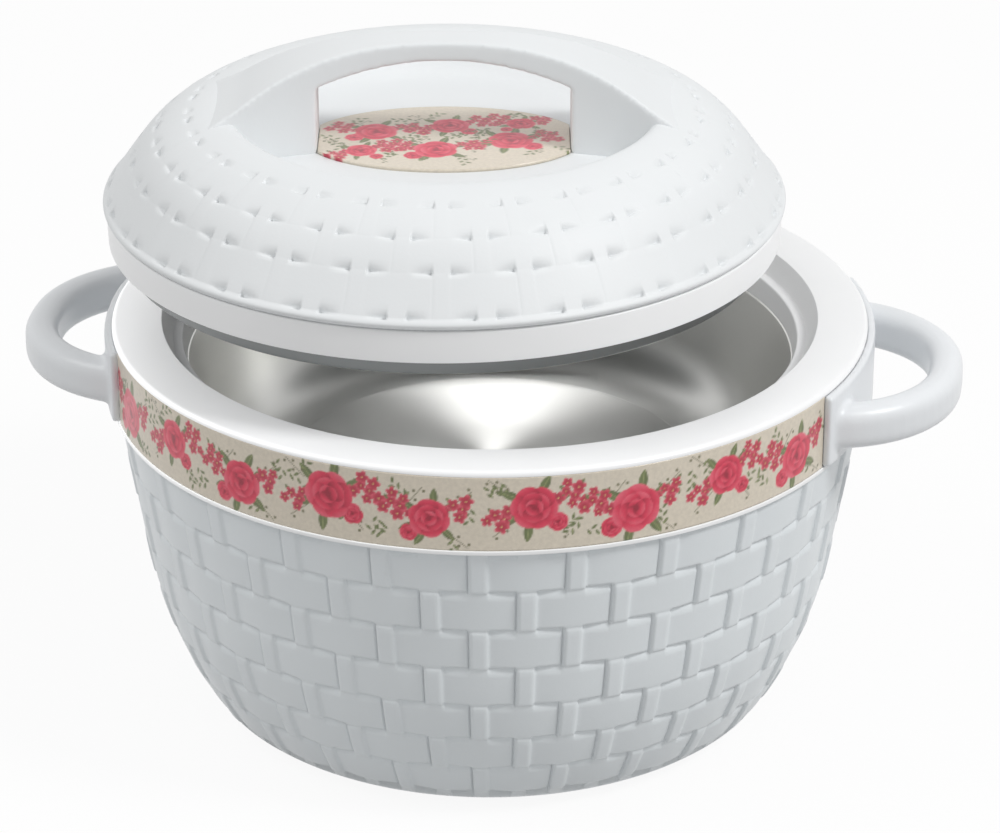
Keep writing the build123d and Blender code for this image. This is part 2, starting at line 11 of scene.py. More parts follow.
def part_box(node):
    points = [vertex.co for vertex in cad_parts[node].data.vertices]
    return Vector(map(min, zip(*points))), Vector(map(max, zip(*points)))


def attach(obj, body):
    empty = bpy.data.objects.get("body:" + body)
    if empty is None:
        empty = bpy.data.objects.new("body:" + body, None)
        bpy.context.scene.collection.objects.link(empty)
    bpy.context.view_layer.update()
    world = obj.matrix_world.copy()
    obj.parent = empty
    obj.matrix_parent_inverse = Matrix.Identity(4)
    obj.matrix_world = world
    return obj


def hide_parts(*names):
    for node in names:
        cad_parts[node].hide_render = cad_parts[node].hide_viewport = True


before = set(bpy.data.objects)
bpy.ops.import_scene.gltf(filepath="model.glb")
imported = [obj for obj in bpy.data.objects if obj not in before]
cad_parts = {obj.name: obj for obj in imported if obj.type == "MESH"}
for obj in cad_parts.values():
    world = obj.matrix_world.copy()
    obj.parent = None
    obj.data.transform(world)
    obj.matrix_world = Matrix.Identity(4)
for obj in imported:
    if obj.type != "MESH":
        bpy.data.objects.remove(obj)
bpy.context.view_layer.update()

bl_info = {
    "name": "Woven serving pot",
    "version": (1, 0, 0),
    "blender": (4, 5, 0),
    "location": "View3D > Sidebar > Serving pot",
    "description": "Woven plastic, polished steel and a flower print for the serving pot",
    "category": "Object",
}

# The lid hangs where its solid does
ring_low, ring_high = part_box("lid_ring")
RING_HEIGHT = 0.012
LID_MIDDLE = (ring_low + ring_high) / 2
LID_BASE = ring_high.z - RING_HEIGHT

# Fineness of the meshes
ROUND_STEPS = 288
ARC_STEPS = 7
BEAD_STEPS = 8
HEEL_STEPS = 7
INSIDE_STEPS = 8
CROWN_STEPS = 5
LOOP_STEPS = 16
PLATE_STEPS = 48
BRIDGE_STEPS = 80
WINDOW_STEPS = 32
DISC_RINGS = 95
DISC_STEPS = 320
ROW_PLACES = (0.0, 0.036, 0.078, 0.145, 0.22, 0.34, 0.5, 0.66, 0.79, 0.9, 0.945, 0.978)
HALF_PITCH_PLACES = (0.0, 0.10, 0.162, 0.190, 0.2143, 0.240, 0.275, 0.36,
                     0.5, 0.64, 0.725, 0.760, 0.7857, 0.810, 0.838, 0.90)
MERGE_DISTANCE = 0.00001
SMOOTH_ANGLE = radians(40)
VOXEL = 0.0008
MELT_ROUNDS = 10
PRINT_STEP = 0.0005

# How near to a woven wall a vertex has to lie to be on it, and how far past a row's edge it may lie
BODY_NEAR = 0.0005
LID_NEAR = 0.0003
ROW_SLACK = 1e-7

# Form of a brick: the slopes at its ends in end bevels, the dip of its middle, the softness of its corners
SHARP_END = (-0.2, 0.2)
GENTLE_END = (-0.4, 0.6)
PILLOW = 0.35
CORNER_SOFT = 0.10

# Radius and dip of the recess's rim, which slips under the woven rows
RECESS_RIM = ((0.0825, 0), (0.0845, 0), (0.0862, 0.00003), (0.0880, 0.00015),
              (0.0895, 0.0006), (0.091, 0.0014))

# Curve of the bridge's top, and how deep its ends are sunk in the dome
ARCH_POWER = 2.6
SINK_DEPTH = 0.0001
SINK_SLOPE = 0.08

# Flower print in millimetres: posies on a band, their sizes in turn, (x, y, size, flip) of those on the disc,
# the rings of a rose as shares of its size with their petals, and the directions of a posy's leaves
MM = 1000
BAND_POSIES = 9
BAND_POSY_SIZES = (9.4, 7.6, 8.6)
BAND_SWAY = 2.2
DISC_POSIES = ((-25, 6, 8.2, -1), (2, 12, 7.4, 1), (24, -3, 8.6, 1), (-3, -12, 8.4, -1), (-30, -13, 6.0, 1),
               (28, 14, 5.6, -1))
FRONT_SEED = 5
BACK_SEED = 11
DISC_SEED = 3
ROSE_RINGS = ((0.58, 0.56, 6), (0.34, 0.46, 5), (0.13, 0.33, 3))
POSY_LEAVES = (0.5, 1.25, 2.5, 3.6, 4.4, 5.6)
PRINT_TONES = ("ground", "rose_deep", "rose", "rose_pale", "blossom", "blossom_heart",
               "leaf", "leaf_pale", "stem")

# Parts of a flower as shares of its size
LEAF_HALF = 0.20
LEAF_RIB = 0.045
LEAF_SHADE = 0.35
PETAL_LONG = 0.72
PETAL_WIDE = 0.92
ROSE_HEART = 0.12
BLOSSOM_NECK = 0.52
BLOSSOM_HEART = 0.13

# Sprigs and clusters in millimetres, with the turns between the rings of a rose and the blossoms of a cluster
STEM_HALF = 0.15
SEED_RADIUS = 0.62
SEED_STEP = 2.3
SEED_SIDE = 1.3
TWIG_STEP = 1.5
TWIG_LEAF = 2.8
TWIG_LEAVES = 5
CLUSTER_LEAF = 4.0
ROSE_TWIST = 0.7
CLUSTER_TURN = 2.4

# Floor and sky: the floor's own grey, its glow, the share of the glow, and the light from the sky
FLOOR_GREY = (0.5, 0.5, 0.5, 1)
FLOOR_GLOW = 1.08
FLOOR_WHITE = 0.85
SKY_LIGHT = 0.52

# Width of the camera's sensor in millimetres, and where most of a noise's values lie
SENSOR_WIDTH = 36.0
NOISE_SPAN = (0.3, 0.7)


class Relief(NamedTuple):
    """Depths of a weave's parts as shares of its deepest groove, and the widths of a brick's edges."""

    face: float
    end: float
    seam: float
    taper: float
    upper: float
    lower: float


BODY_RELIEF = Relief(face=0.55, end=1.0, seam=0.14, taper=0.40, upper=0.0024, lower=0.0009)
LID_RELIEF = Relief(face=0.03, end=0.05, seam=0.02, taper=1.20, upper=0.0011, lower=0.0019)


class Lamp(NamedTuple):
    """Soft square lamp with the point that it faces, and a piece if it lights one piece alone."""

    name: str
    place: tuple
    aim: tuple
    size: float
    power: float
    piece: str = ""


LAMPS = (
    Lamp("key_light", (1.35, -0.5, 1.7), (0, 0, 0.15), 0.5, 21),
    Lamp("fill_light", (-1.35, -0.5, 1.7), (0, 0, 0.15), 1.0, 10),
    Lamp("bowl_light", (-0.24, 1.2, 1.6), (0, 0, 0.12), 0.4, 9, "steel_bowl_polished"),
    Lamp("rim_light", (-0.42, -0.05, 0.36), (-0.10, -0.05, 0.15), 0.2, 0.75, "collar_moulding"),
)


def length(name, description, default):
    """Length property in metres."""
    return FloatProperty(name=name, description=description, default=default, unit="LENGTH", precision=5)


def angle(name, description, default):
    """Angle property, with its default given in degrees."""
    return FloatProperty(name=name, description=description, default=radians(default), unit="ROTATION")


def colour(name, description, default):
    """Linear colour property."""
    return FloatVectorProperty(name=name, description=description, default=default, subtype="COLOR",
                               size=3, min=0.0, max=1.0)


class PotSizes(bpy.types.PropertyGroup):
    """Sizes of the collar, the body, the bowl and the handles."""

    wall: length("Wall", "Moulded plastic wall", 0.0026)
    steel: length("Steel", "Pressed steel sheet", 0.0009)
    rim_radius: length("Rim radius", "Outer radius of the collar", 0.140)
    rim_top: length("Rim top", "Height of the collar's flat top", 0.152)
    rim_round: length("Rim rounding", "Rounding of the outer top edge", 0.0019)
    edge_round: length("Edge rounding", "Rounding of small moulded edges", 0.0008)
    band_top: length("Band top", "Upper edge of the printed band", 0.150)
    band_bottom: length("Band bottom", "Lower edge of the printed band", 0.122)
    band_film: length("Film", "Thickness of the printed film", 0.0005)
    film_gap: length("Film gap", "Clearance round the printed film", 0.0001)
    bead_height: length("Bead height", "Plain bead under the band", 0.0017)
    bead_proud: length("Bead proud", "How far the bead stands out", 0.0004)
    seat_radius: length("Seat radius", "Inner edge of the flat top", 0.1215)
    seat_round: length("Seat rounding", "Rounding where the lid's ring meets the flat top", 0.0004)
    seat_depth: length("Seat depth", "From the flat top to the ledge", 0.0078)
    seat_angle: angle("Seat angle", "Slope of the seat wall from vertical", 27.0)
    ledge_radius: length("Ledge radius", "Inner edge of the ledge", 0.114)
    throat_depth: length("Throat depth", "From the ledge to the steel flange", 0.008)
    throat_draft: length("Throat draft", "How far the throat leans in", 0.0016)
    mouth_radius: length("Mouth radius", "Inside of the steel bowl at its flange", 0.112)
    bowl_depth: length("Bowl depth", "From the flat top to the bowl's floor", 0.064)
    bowl_taper: angle("Bowl taper", "Slope of the bowl's wall from vertical", 13.0)
    bowl_corner: length("Bowl corner", "Radius between wall and floor", 0.024)
    panel_radius: length("Panel radius", "Raised panel in the floor", 0.076)
    panel_rise: length("Panel rise", "Height of the raised panel", 0.0015)
    flange_width: length("Flange width", "Steel flange under the throat", 0.005)
    body_radius: length("Body radius", "Body at the collar's lower edge", 0.1392)
    body_taper: angle("Body taper", "Slope of the upper wall from vertical", 9.2)
    belly_radius: length("Belly radius", "Curve of the lower wall", 0.157)
    belly_angle: angle("Belly angle", "Slope where the belly meets the heel", 29.8)
    heel_radius: length("Heel radius", "Curve into the base", 0.0226)
    wall_run: length("Wall run", "From the collar down the wall and round the heel", 0.137)
    base_lift: length("Base lift", "Base above the table, inside the foot ring", 0.0012)
    foot_width: length("Foot width", "Ring that the pot stands on", 0.006)
    handle_reach: length("Handle reach", "From the axis to the outside of the loop", 0.1755)
    handle_width: length("Handle width", "Loop across the two arms", 0.108)
    grip_width: length("Grip width", "Thickness of the loop seen from above", 0.0125)
    grip_height: length("Grip height", "Height of the loop", 0.0165)
    grip_round: length("Grip rounding", "Rounding of the loop's edges", 0.0054)
    handle_middle: length("Handle middle", "Height of the loop's middle", 0.135)
    loop_corner: length("Loop corner", "Outer corner radius of the loop", 0.051)
    root_thickness: length("Root thickness", "Plate that lies on the collar", 0.0033)
    root_angle: angle("Root angle", "Half the sweep of the root plate", 23.29)


class LidSizes(bpy.types.PropertyGroup):
    """Sizes of the lid in its own frame, with height 0 at the lower edge of its ring."""

    yaw: angle("Yaw", "Turn of the lid about its axis", 8.6)
    ring_radius: length("Ring radius", "Plain band under the bead", 0.1232)
    ring_height: length("Ring height", "Height of the plain band", RING_HEIGHT)
    ring_flare: length("Ring flare", "How far the band leans out", 0.0004)
    bead_radius: length("Bead radius", "Bead between the band and the weave", 0.1244)
    bead_gap: length("Bead gap", "Shadow gap between the bead and the band", 0.0006)
    dome_radius: length("Dome radius", "Where the dome meets the bead", 0.1229)
    dome_start: length("Dome start", "Height where the dome starts", 0.0163)
    crest_height: length("Crest height", "Top of the dome round the recess", 0.049)
    crest_radius: length("Crest radius", "Where the dome starts to fall", 0.077)
    shoulder_radius: length("Shoulder radius", "Curve outside the crest", 0.044)
    shoulder_angle: angle("Shoulder angle", "Slope where the shoulder ends", 53.0)
    dome_inside: length("Dome inside", "Inside of the dome at the ring", 0.1195)
    dome_wall: length("Dome wall", "Wall of the woven dome", 0.00377)
    crown_edge: length("Crown edge", "Inner edge of the woven dome", 0.0850)
    rim_wall: length("Rim wall", "Wall under the recess's lip", 0.00416)
    recess_radius: length("Recess radius", "Lip of the round recess", 0.078)
    recess_floor: length("Recess floor", "Height of the recess floor", 0.0338)
    recess_draft: angle("Recess draft", "Slope of the recess wall from vertical", 20.0)
    recess_corner: length("Recess corner", "Radius between wall and floor", 0.010)
    recess_lip: length("Recess lip", "Rounding of the lip", 0.004)
    bridge_height: length("Bridge height", "Top of the arched bridge", 0.074)
    bridge_half: length("Bridge half", "From the axis to where the bridge's top meets the crest", 0.080)
    bridge_blend: length("Bridge blend", "Softness of the bridge's run into the dome", 0.006)
    bridge_tail: length("Bridge tail", "How far the bridge runs on under the dome", 0.013)
    bridge_waist: length("Bridge waist", "Half width of the bridge at its middle", 0.0075)
    bridge_sweep: length("Bridge sweep", "Radius of the bridge's hollow sides", 0.200)
    window_half: length("Window half", "Half length of the window", 0.046)
    window_side: length("Window side", "Height of the window at its ends", 0.0245)
    window_middle: length("Window middle", "Height of the window at its middle", 0.0331)
    disc_length: length("Disc length", "Printed oval on the recess floor", 0.100)
    disc_width: length("Disc width", "Printed oval on the recess floor", 0.064)
    disc_thickness: length("Disc thickness", "Printed oval on the recess floor", 0.0012)
    disc_gap: length("Disc gap", "Clearance between the disc and the window's ends", 0.0003)
    plug_radius: length("Plug radius", "Steel liner at the ring's lower edge", 0.1207)
    plug_depth: length("Plug depth", "Steel liner below the ring", 0.007)
    plug_corner: length("Plug corner", "Radius at the liner's lower edge", 0.0025)
    liner_panel: length("Liner panel", "Raised middle of the liner", 0.096)
    liner_rise: length("Liner rise", "Height of the raised middle", 0.003)
    flange_thickness: length("Flange thickness", "Inner flange of the ring", 0.0024)
    cone_gap: length("Cone gap", "Clearance between the ring's cone and the liner's floor", 0.0003)


class WeaveSizes(bpy.types.PropertyGroup):
    """Sizes of the basket weave on the body and the lid."""

    bricks: IntProperty(name="Bricks", description="Bricks in one row", default=25, min=3)
    rows: IntProperty(name="Rows", description="Rows on the body", default=7, min=1)
    pitch: length("Row pitch", "Row spacing along the body wall", 0.0166)
    start: length("First row", "From the collar to the first row's upper edge", 0.0007)
    phase: angle("Phase", "Middle of a brick in the body's first row", -76.0)
    share: FloatProperty(name="Brick share", description="Part of the pitch that a brick fills",
                         default=0.7857, subtype="FACTOR")
    groove: length("Groove depth", "Deepest groove of the body's weave", 0.0020)
    lid_groove: length("Lid groove depth", "Deepest groove of the lid's weave", 0.0022)
    end_bevel: length("End bevel", "Width of the slope from an upright to the brick on its right", 0.0020)
    end_groove: length("End groove", "Half width of the groove on an upright's left", 0.0008)
    lid_rows: FloatVectorProperty(name="Lid rows", description="Row heights up the lid's dome",
                                  default=(0.0160, 0.0126, 0.0139), size=3, unit="LENGTH")


class Finishes(bpy.types.PropertyGroup):
    """Colours of the plastic, the steel, the foam and the print; the liner's steel is darkened as painted
    shade.
    """

    body_white: colour("Body white", "Plastic of the woven body", (0.79, 0.83, 0.85))
    collar_white: colour("Collar white", "Plastic of the collar", (0.94, 0.945, 0.95))
    lid_white: colour("Lid white", "Plastic of the lid", (0.79, 0.81, 0.82))
    handle_white: colour("Handle white", "Plastic of the handles", (0.80, 0.82, 0.84))
    steel: colour("Steel", "Polished steel of the bowl", (0.74, 0.74, 0.72))
    # The liner's steel is a real part, but its near-black tone is painted shade for the dark strip under the
    # lid's ring
    liner: colour("Liner steel", "Dull steel under the lid", (0.22, 0.23, 0.23))
    screw: colour("Screw", "Plated screws", (0.50, 0.50, 0.50))
    foam: colour("Foam", "Insulating foam", (0.78, 0.68, 0.40))
    ground: colour("Print ground", "Ground of the flower print", (0.70, 0.63, 0.52))
    rose_deep: colour("Rose deep", "Folds of a rose", (0.33, 0.006, 0.03))
    rose: colour("Rose", "Petals of a rose", (0.70, 0.035, 0.085))
    rose_pale: colour("Rose pale", "Petal edges of a rose", (0.82, 0.16, 0.22))
    blossom: colour("Blossom", "Petals of a small blossom", (0.62, 0.06, 0.10))
    blossom_heart: colour("Blossom heart", "Heart of a small blossom", (0.75, 0.50, 0.22))
    leaf: colour("Leaf", "Leaves", (0.12, 0.15, 0.055))
    leaf_pale: colour("Leaf pale", "Ribs of the leaves", (0.30, 0.33, 0.14))
    stem: colour("Stem", "Stems and seeds", (0.17, 0.16, 0.08))


class StageSizes(bpy.types.PropertyGroup):
    """Sizes of the camera's view and the floor."""

    elevation: angle("Elevation", "Camera above the horizon", 23.5)
    azimuth: angle("Azimuth", "Camera to the right of the front", 8.6)
    distance: length("Distance", "Camera to the middle of the rim", 1.5)
    focus: FloatProperty(name="Focal length", description="Focal length in image pixels", default=4036.0)
    image_width: IntProperty(name="Image width", description="Width of the picture in pixels", default=1000)
    image_height: IntProperty(name="Image height", description="Height of the picture in pixels", default=833)
    rim_pixel: FloatVectorProperty(name="Rim pixel", default=(490.0, 313.7), size=2,
                                   description="Where the middle of the rim falls in the image")
    floor_size: length("Floor size", "Side of the floor", 8.0)


# Shared ways of making a mesh

def clear_selection():
    """Leave every mesh and select nothing."""
    if bpy.context.object and bpy.context.object.mode != "OBJECT":
        bpy.ops.object.mode_set(mode="OBJECT")
    bpy.ops.object.select_all(action="DESELECT")


def pick(piece):
    """Select one object alone and make it active."""
    clear_selection()
    piece.select_set(True)
    bpy.context.view_layer.objects.active = piece


def push_on(step):
    """Extrude what is selected by a step."""
    bpy.ops.mesh.extrude_region_move(TRANSFORM_OT_translate={"value": step})


def draw_line(name, points, closed):
    """Line of edges, extruded on from one vertex; the object is left in edit mode with all selected."""
    clear_selection()
    bpy.ops.mesh.primitive_plane_add(size=0.001, location=(0, 0, 0))
    line = bpy.context.object
    line.name = name
    line.data.name = name
    bpy.ops.object.mode_set(mode="EDIT")
    bpy.ops.mesh.select_all(action="SELECT")
    bpy.ops.mesh.merge(type="CENTER")
    bpy.ops.transform.translate(value=points[0])
    for here, there in zip(points, points[1:]):
        push_on([b - a for a, b in zip(here, there)])
    if closed:
        bpy.ops.object.mode_set(mode="OBJECT")
        last = len(points) - 1
        for vertex in line.data.vertices:
            vertex.select = vertex.index in (0, last)
        for edge in line.data.edges:
            edge.select = False
        bpy.ops.object.mode_set(mode="EDIT")
        bpy.ops.mesh.edge_face_add()
    bpy.ops.mesh.select_all(action="SELECT")
    return line


def tidy_mesh(piece):
    """Merge doubles, point faces outwards and shade smooth."""
    bpy.ops.object.mode_set(mode="EDIT")
    bpy.ops.mesh.select_all(action="SELECT")
    bpy.ops.mesh.remove_doubles(threshold=MERGE_DISTANCE)
    bpy.ops.mesh.normals_make_consistent(inside=False)
    pick(piece)
    bpy.ops.object.shade_smooth_by_angle(angle=SMOOTH_ANGLE)


def close_ends(piece):
    """Fill the open ends of an extruded form."""
    bpy.ops.mesh.select_all(action="SELECT")
    bpy.ops.mesh.fill_holes(sides=0)
    tidy_mesh(piece)


def turn_round(name, points, steps, sweep, closed):
    """Turn a line of points about the upright axis."""
    piece = draw_line(name, points, closed)
    bpy.ops.object.mode_set(mode="OBJECT")
    put_modifier(piece, "SCREW", axis="Z", angle=sweep, steps=steps, render_steps=steps,
                 use_merge_vertices=True, merge_threshold=MERGE_DISTANCE)
    tidy_mesh(piece)
    return piece


def spin_round(name, outline, steps=ROUND_STEPS, closed=True):
    """Turn an outline of (radius, height) points once about the upright axis."""
    return turn_round(name, [(r, 0, z) for r, z in outline], steps, 2 * pi, closed)


def rounded(corners):
    """Points of a closed outline through (radius, height, rounding) corners."""
    points = []
    count = len(corners)
    for i, (r, z, rounding) in enumerate(corners):
        here = Vector((r, z))
        if rounding == 0:
            points.append((r, z))
            continue
        back = (Vector(corners[i - 1][:2]) - here).normalized()
        ahead = (Vector(corners[(i + 1) % count][:2]) - here).normalized()
        half = back.angle(ahead) / 2
        centre = here + (back + ahead).normalized() * (rounding / sin(half))
        first = here + back * (rounding / tan(half)) - centre
        last = here + ahead * (rounding / tan(half)) - centre
        start = atan2(first.y, first.x)
        turn = (atan2(last.y, last.x) - start + pi) % (2 * pi) - pi
        for k in range(ARC_STEPS + 1):
            around = start + turn * k / ARC_STEPS
            points.append((centre.x + rounding * cos(around), centre.y + rounding * sin(around)))
    return points


def put_modifier(piece, kind, **settings):
    """Add a modifier with its settings and apply it."""
    pick(piece)
    modifier = piece.modifiers.new(kind.title(), kind)
    for key, value in settings.items():
        setattr(modifier, key, value)
    bpy.ops.object.modifier_apply(modifier=modifier.name)


def join_pieces(name, pieces):
    """Join meshes into one object."""
    clear_selection()
    for piece in pieces:
        piece.select_set(True)
    bpy.context.view_layer.objects.active = pieces[0]
    bpy.ops.object.join()
    pieces[0].name = name
    pieces[0].data.name = name
    return pieces[0]


def cut_with(piece, cutter, operation):
    """Boolean with a cutter, which is then removed."""
    put_modifier(piece, "BOOLEAN", operation=operation, solver="EXACT", object=cutter)
    pick(cutter)
    bpy.ops.object.delete()


def raise_prism(name, points, rise):
    """Closed prism over a flat outline of points, raised by a vector."""
    prism = draw_line(name, points, True)
    bpy.ops.mesh.edge_face_add()
    push_on(rise)
    tidy_mesh(prism)
    return prism


def fuse(piece):
    """Fuse overlapping solids into one skin."""
    put_modifier(piece, "REMESH", mode="VOXEL", voxel_size=VOXEL, use_smooth_shade=True)


def melt_edges(piece):
    """Fuse overlapping solids into one skin and round its edges."""
    fuse(piece)
    put_modifier(piece, "SMOOTH", factor=0.5, iterations=MELT_ROUNDS)


def vertex_places(piece):
    """Vertex places as an array."""
    places = np.empty(len(piece.data.vertices) * 3)
    piece.data.vertices.foreach_get("co", places)
    return places.reshape(-1, 3)


def finish_piece(piece, body, node, material):
    """Give a piece its material and its body, and hide the solid that it stands for."""
    piece.data.materials.clear()
    piece.data.materials.append(material)
    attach(piece, body)
    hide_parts(node)


def seat_on_lid(piece):
    """Move a piece from the lid's own frame to where the lid hangs."""
    place = Matrix.Translation((LID_MIDDLE.x, LID_MIDDLE.y, LID_BASE))
    piece.data.transform(place @ Matrix.Rotation(bpy.context.scene.lid_sizes.yaw, 4, "Z"))


# Outlines that follow the solids

def body_point(pot, along):
    """Point on the body wall at a distance down from the collar."""
    top = pot.band_bottom - pot.bead_height
    belly_drop = pot.belly_radius * (sin(pot.belly_angle) - sin(pot.body_taper))
    heel_drop = pot.heel_radius * (1 - sin(pot.belly_angle))
    straight = (top - belly_drop - heel_drop) / cos(pot.body_taper)
    belly = pot.belly_radius * (pot.belly_angle - pot.body_taper)
    if along < straight:
        return pot.body_radius - along * sin(pot.body_taper), top - along * cos(pot.body_taper)
    belly_r = pot.body_radius - straight * sin(pot.body_taper) - pot.belly_radius * cos(pot.body_taper)
    belly_z = top - straight * cos(pot.body_taper) + pot.belly_radius * sin(pot.body_taper)
    if along < straight + belly:
        slope = pot.body_taper + (along - straight) / pot.belly_radius
        return belly_r + pot.belly_radius * cos(slope), belly_z - pot.belly_radius * sin(slope)
    heel_r = belly_r + (pot.belly_radius - pot.heel_radius) * cos(pot.belly_angle)
    slope = min(pot.belly_angle + (along - straight - belly) / pot.heel_radius, pi / 2)
    return heel_r + pot.heel_radius * cos(slope), pot.heel_radius * (1 - sin(slope))


def flank_arc(lid):
    """Top point, centre, radius and end slope of the flank's arc, from the shoulder down to the bead."""
    top_r = lid.crest_radius + lid.shoulder_radius * sin(lid.shoulder_angle)
    top_z = lid.crest_height - lid.shoulder_radius * (1 - cos(lid.shoulder_angle))
    drop = top_z - lid.dome_start
    run = lid.dome_radius - top_r
    end = 2 * atan2(drop, run) - lid.shoulder_angle
    radius = hypot(drop, run) / (2 * sin((end - lid.shoulder_angle) / 2))
    centre = (top_r - radius * sin(lid.shoulder_angle), top_z - radius * cos(lid.shoulder_angle))
    return top_r, centre, radius, end


def dome_point(lid, along):
    """Point on the dome at a distance up from the bead."""
    _, centre, radius, end = flank_arc(lid)
    flank = radius * (end - lid.shoulder_angle)
    if along < flank:
        slope = end - along / radius
        return centre[0] + radius * sin(slope), centre[1] + radius * cos(slope)
    slope = lid.shoulder_angle - (along - flank) / lid.shoulder_radius
    low = lid.crest_height - lid.shoulder_radius
    return lid.crest_radius + lid.shoulder_radius * sin(slope), low + lid.shoulder_radius * cos(slope)


def dome_height(lid, r):
    """Height of the dome's outside at a radius."""
    if r < lid.crest_radius:
        return lid.crest_height
    top_r, centre, radius, _ = flank_arc(lid)
    if r < top_r:
        low = lid.crest_height - lid.shoulder_radius
        return low + sqrt(lid.shoulder_radius ** 2 - (r - lid.crest_radius) ** 2)
    return centre[1] + sqrt(radius ** 2 - (r - centre[0]) ** 2)


# Basket weave

def row_stations(edges, upwards):
    """Places along the wall to put a loop of vertices, close together at each row's edges."""
    places = ROW_PLACES
    if upwards:
        places = sorted((1.0 - f) % 1.0 for f in ROW_PLACES)
    stations = []
    for low, high in zip(edges, edges[1:]):
        stations += [low + f * (high - low) for f in places]
    return stations + [edges[-1]]


def smooth_step(low, high, value):
    """Ramp from 0 to 1 between two values, soft at both ends."""
    share = np.clip((value - low) / (high - low), 0, 1)
    return share * share * (3 - 2 * share)


def weave_columns(weave):
    """Columns of vertices round a woven wall."""
    return 2 * weave.bricks * len(HALF_PITCH_PLACES)


def crowd_columns(piece, weave, first):
    """Shift evenly turned columns round the axis, so that they stand close together at the bricks' ends."""
    steps = len(HALF_PITCH_PLACES)
    half_pitch = pi / weave.bricks
    places = vertex_places(piece)
    around = np.arctan2(places[:, 1], places[:, 0]) - first
    column = np.rint(around / half_pitch * steps).astype(int)
    turned = (column // steps + np.array(HALF_PITCH_PLACES)[column % steps]) * half_pitch + first
    reach = np.hypot(places[:, 0], places[:, 1])
    places[:, 0] = reach * np.cos(turned)
    places[:, 1] = reach * np.sin(turned)
    piece.data.vertices.foreach_set("co", places.ravel())
    piece.data.update()


def weave_depth(weave, relief, around, radius, from_top, from_bottom, middle):
    """Depth of the weave, 0 on an upright and 1 in the deepest groove, at places round a row."""
    pitch = 2 * pi / weave.bricks
    turned = (around - middle + pitch / 2) % pitch - pitch / 2
    off = np.abs(turned)
    half = weave.share * pitch / 2
    past = (off - half) * radius
    sharp = smooth_step(*SHARP_END, past / weave.end_bevel)
    gentle = smooth_step(*GENTLE_END, past / weave.end_bevel)
    pillow = PILLOW + (1 - PILLOW) * np.clip(off / half, 0, 1) ** 2
    level = relief.face * pillow * (1 - np.where(turned > 0, sharp, gentle))
    groove = np.where(turned > 0, relief.end * np.clip(1 - np.abs(past) / weave.end_groove, 0, 1), 0)
    upright_half = pitch / 2 - half
    soft = CORNER_SOFT * upright_half
    crossing = smooth_step(upright_half - soft, upright_half + soft, off)
    crossing *= 1 - smooth_step(half - soft, half + soft, off)
    run = np.clip((off - upright_half) / (half - upright_half), 0, 1)
    upper = relief.seam + (1 - relief.seam) * crossing * np.clip(1 - relief.taper * (1 - run), 0, 1)
    lower = relief.seam + (1 - relief.seam) * crossing * np.clip(1 - relief.taper * run, 0, 1)
    edges = np.maximum(upper * np.clip(1 - from_top / relief.upper, 0, 1),
                       lower * np.clip(1 - from_bottom / relief.lower, 0, 1))
    return np.clip(np.maximum(level + edges * (1 - level), groove), 0, 1)


def row_depths(weave, relief, places, along, edges, first, upwards):
    """Depth of the weave at vertices, from their places and how far along the wall they lie."""
    radius = np.hypot(places[:, 0], places[:, 1])
    around = np.arctan2(places[:, 1], places[:, 0])
    depth = np.zeros(len(places))
    for row, (low, high) in enumerate(zip(edges, edges[1:])):
        here = (along >= low - ROW_SLACK) & (along <= high + ROW_SLACK)
        from_top = along[here] - low
        from_bottom = high - along[here]
        if upwards:
            from_top, from_bottom = from_bottom, from_top
        middle = first + (row % 2) * pi / weave.bricks
        pressed = weave_depth(weave, relief, around[here], radius[here], from_top, from_bottom, middle)
        depth[here] = np.maximum(depth[here], pressed)
    return depth


def press_weave(piece, depth, strength):
    """Press the weave's grooves into a wall, along its normals."""
    group = piece.vertex_groups.new(name="weave")
    for i in np.flatnonzero(depth > 0):
        group.add([int(i)], float(depth[i]), "REPLACE")
    put_modifier(piece, "DISPLACE", direction="NORMAL", strength=-strength, mid_level=0.0,
                 vertex_group="weave")
    piece.vertex_groups.clear()


# Materials

def new_material(name):
    """Material with its node tree and its shader."""
    material = bpy.data.materials.new(name)
    material.use_nodes = True
    tree = material.node_tree
    return material, tree, tree.nodes["Principled BSDF"]


def feed(tree, node, sockets):
    """Link outputs to a node's sockets, or set constants on them."""
    for key, value in sockets.items():
        if isinstance(value, bpy.types.NodeSocket):
            tree.links.new(value, node.inputs[key])
        else:
            node.inputs[key].default_value = value


def add_node(tree, kind, sockets, **settings):
    """Node with its settings, and with its sockets fed."""
    node = tree.nodes.new(kind)
    for key, value in settings.items():
        setattr(node, key, value)
    feed(tree, node, sockets)
    return node


def object_places(tree):
    """Places in the object's own frame."""
    return tree.nodes.new("ShaderNodeTexCoord").outputs["Object"]


def add_noise(tree, vector, scale, detail):
    """Noise on a vector output."""
    sockets = {"Vector": vector, "Scale": scale, "Detail": detail}
    return add_node(tree, "ShaderNodeTexNoise", sockets).outputs["Fac"]


def add_range(tree, value, low, high):
    """Spread a noise over a range."""
    least, most = NOISE_SPAN
    sockets = {"Value": value, "From Min": least, "From Max": most, "To Min": low, "To Max": high}
    return add_node(tree, "ShaderNodeMapRange", sockets).outputs["Result"]


def add_tint(tree, factor, first, second):
    """Mix of two colours by a factor."""
    sockets = {"Factor": factor, "A": (*first, 1), "B": (*second, 1)}
    return add_node(tree, "ShaderNodeMix", sockets, data_type="RGBA").outputs["Result"]


def add_bump(tree, height, strength, distance):
    """Normal that a height bends."""
    sockets = {"Height": height, "Strength": strength, "Distance": distance}
    return add_node(tree, "ShaderNodeBump", sockets).outputs["Normal"]


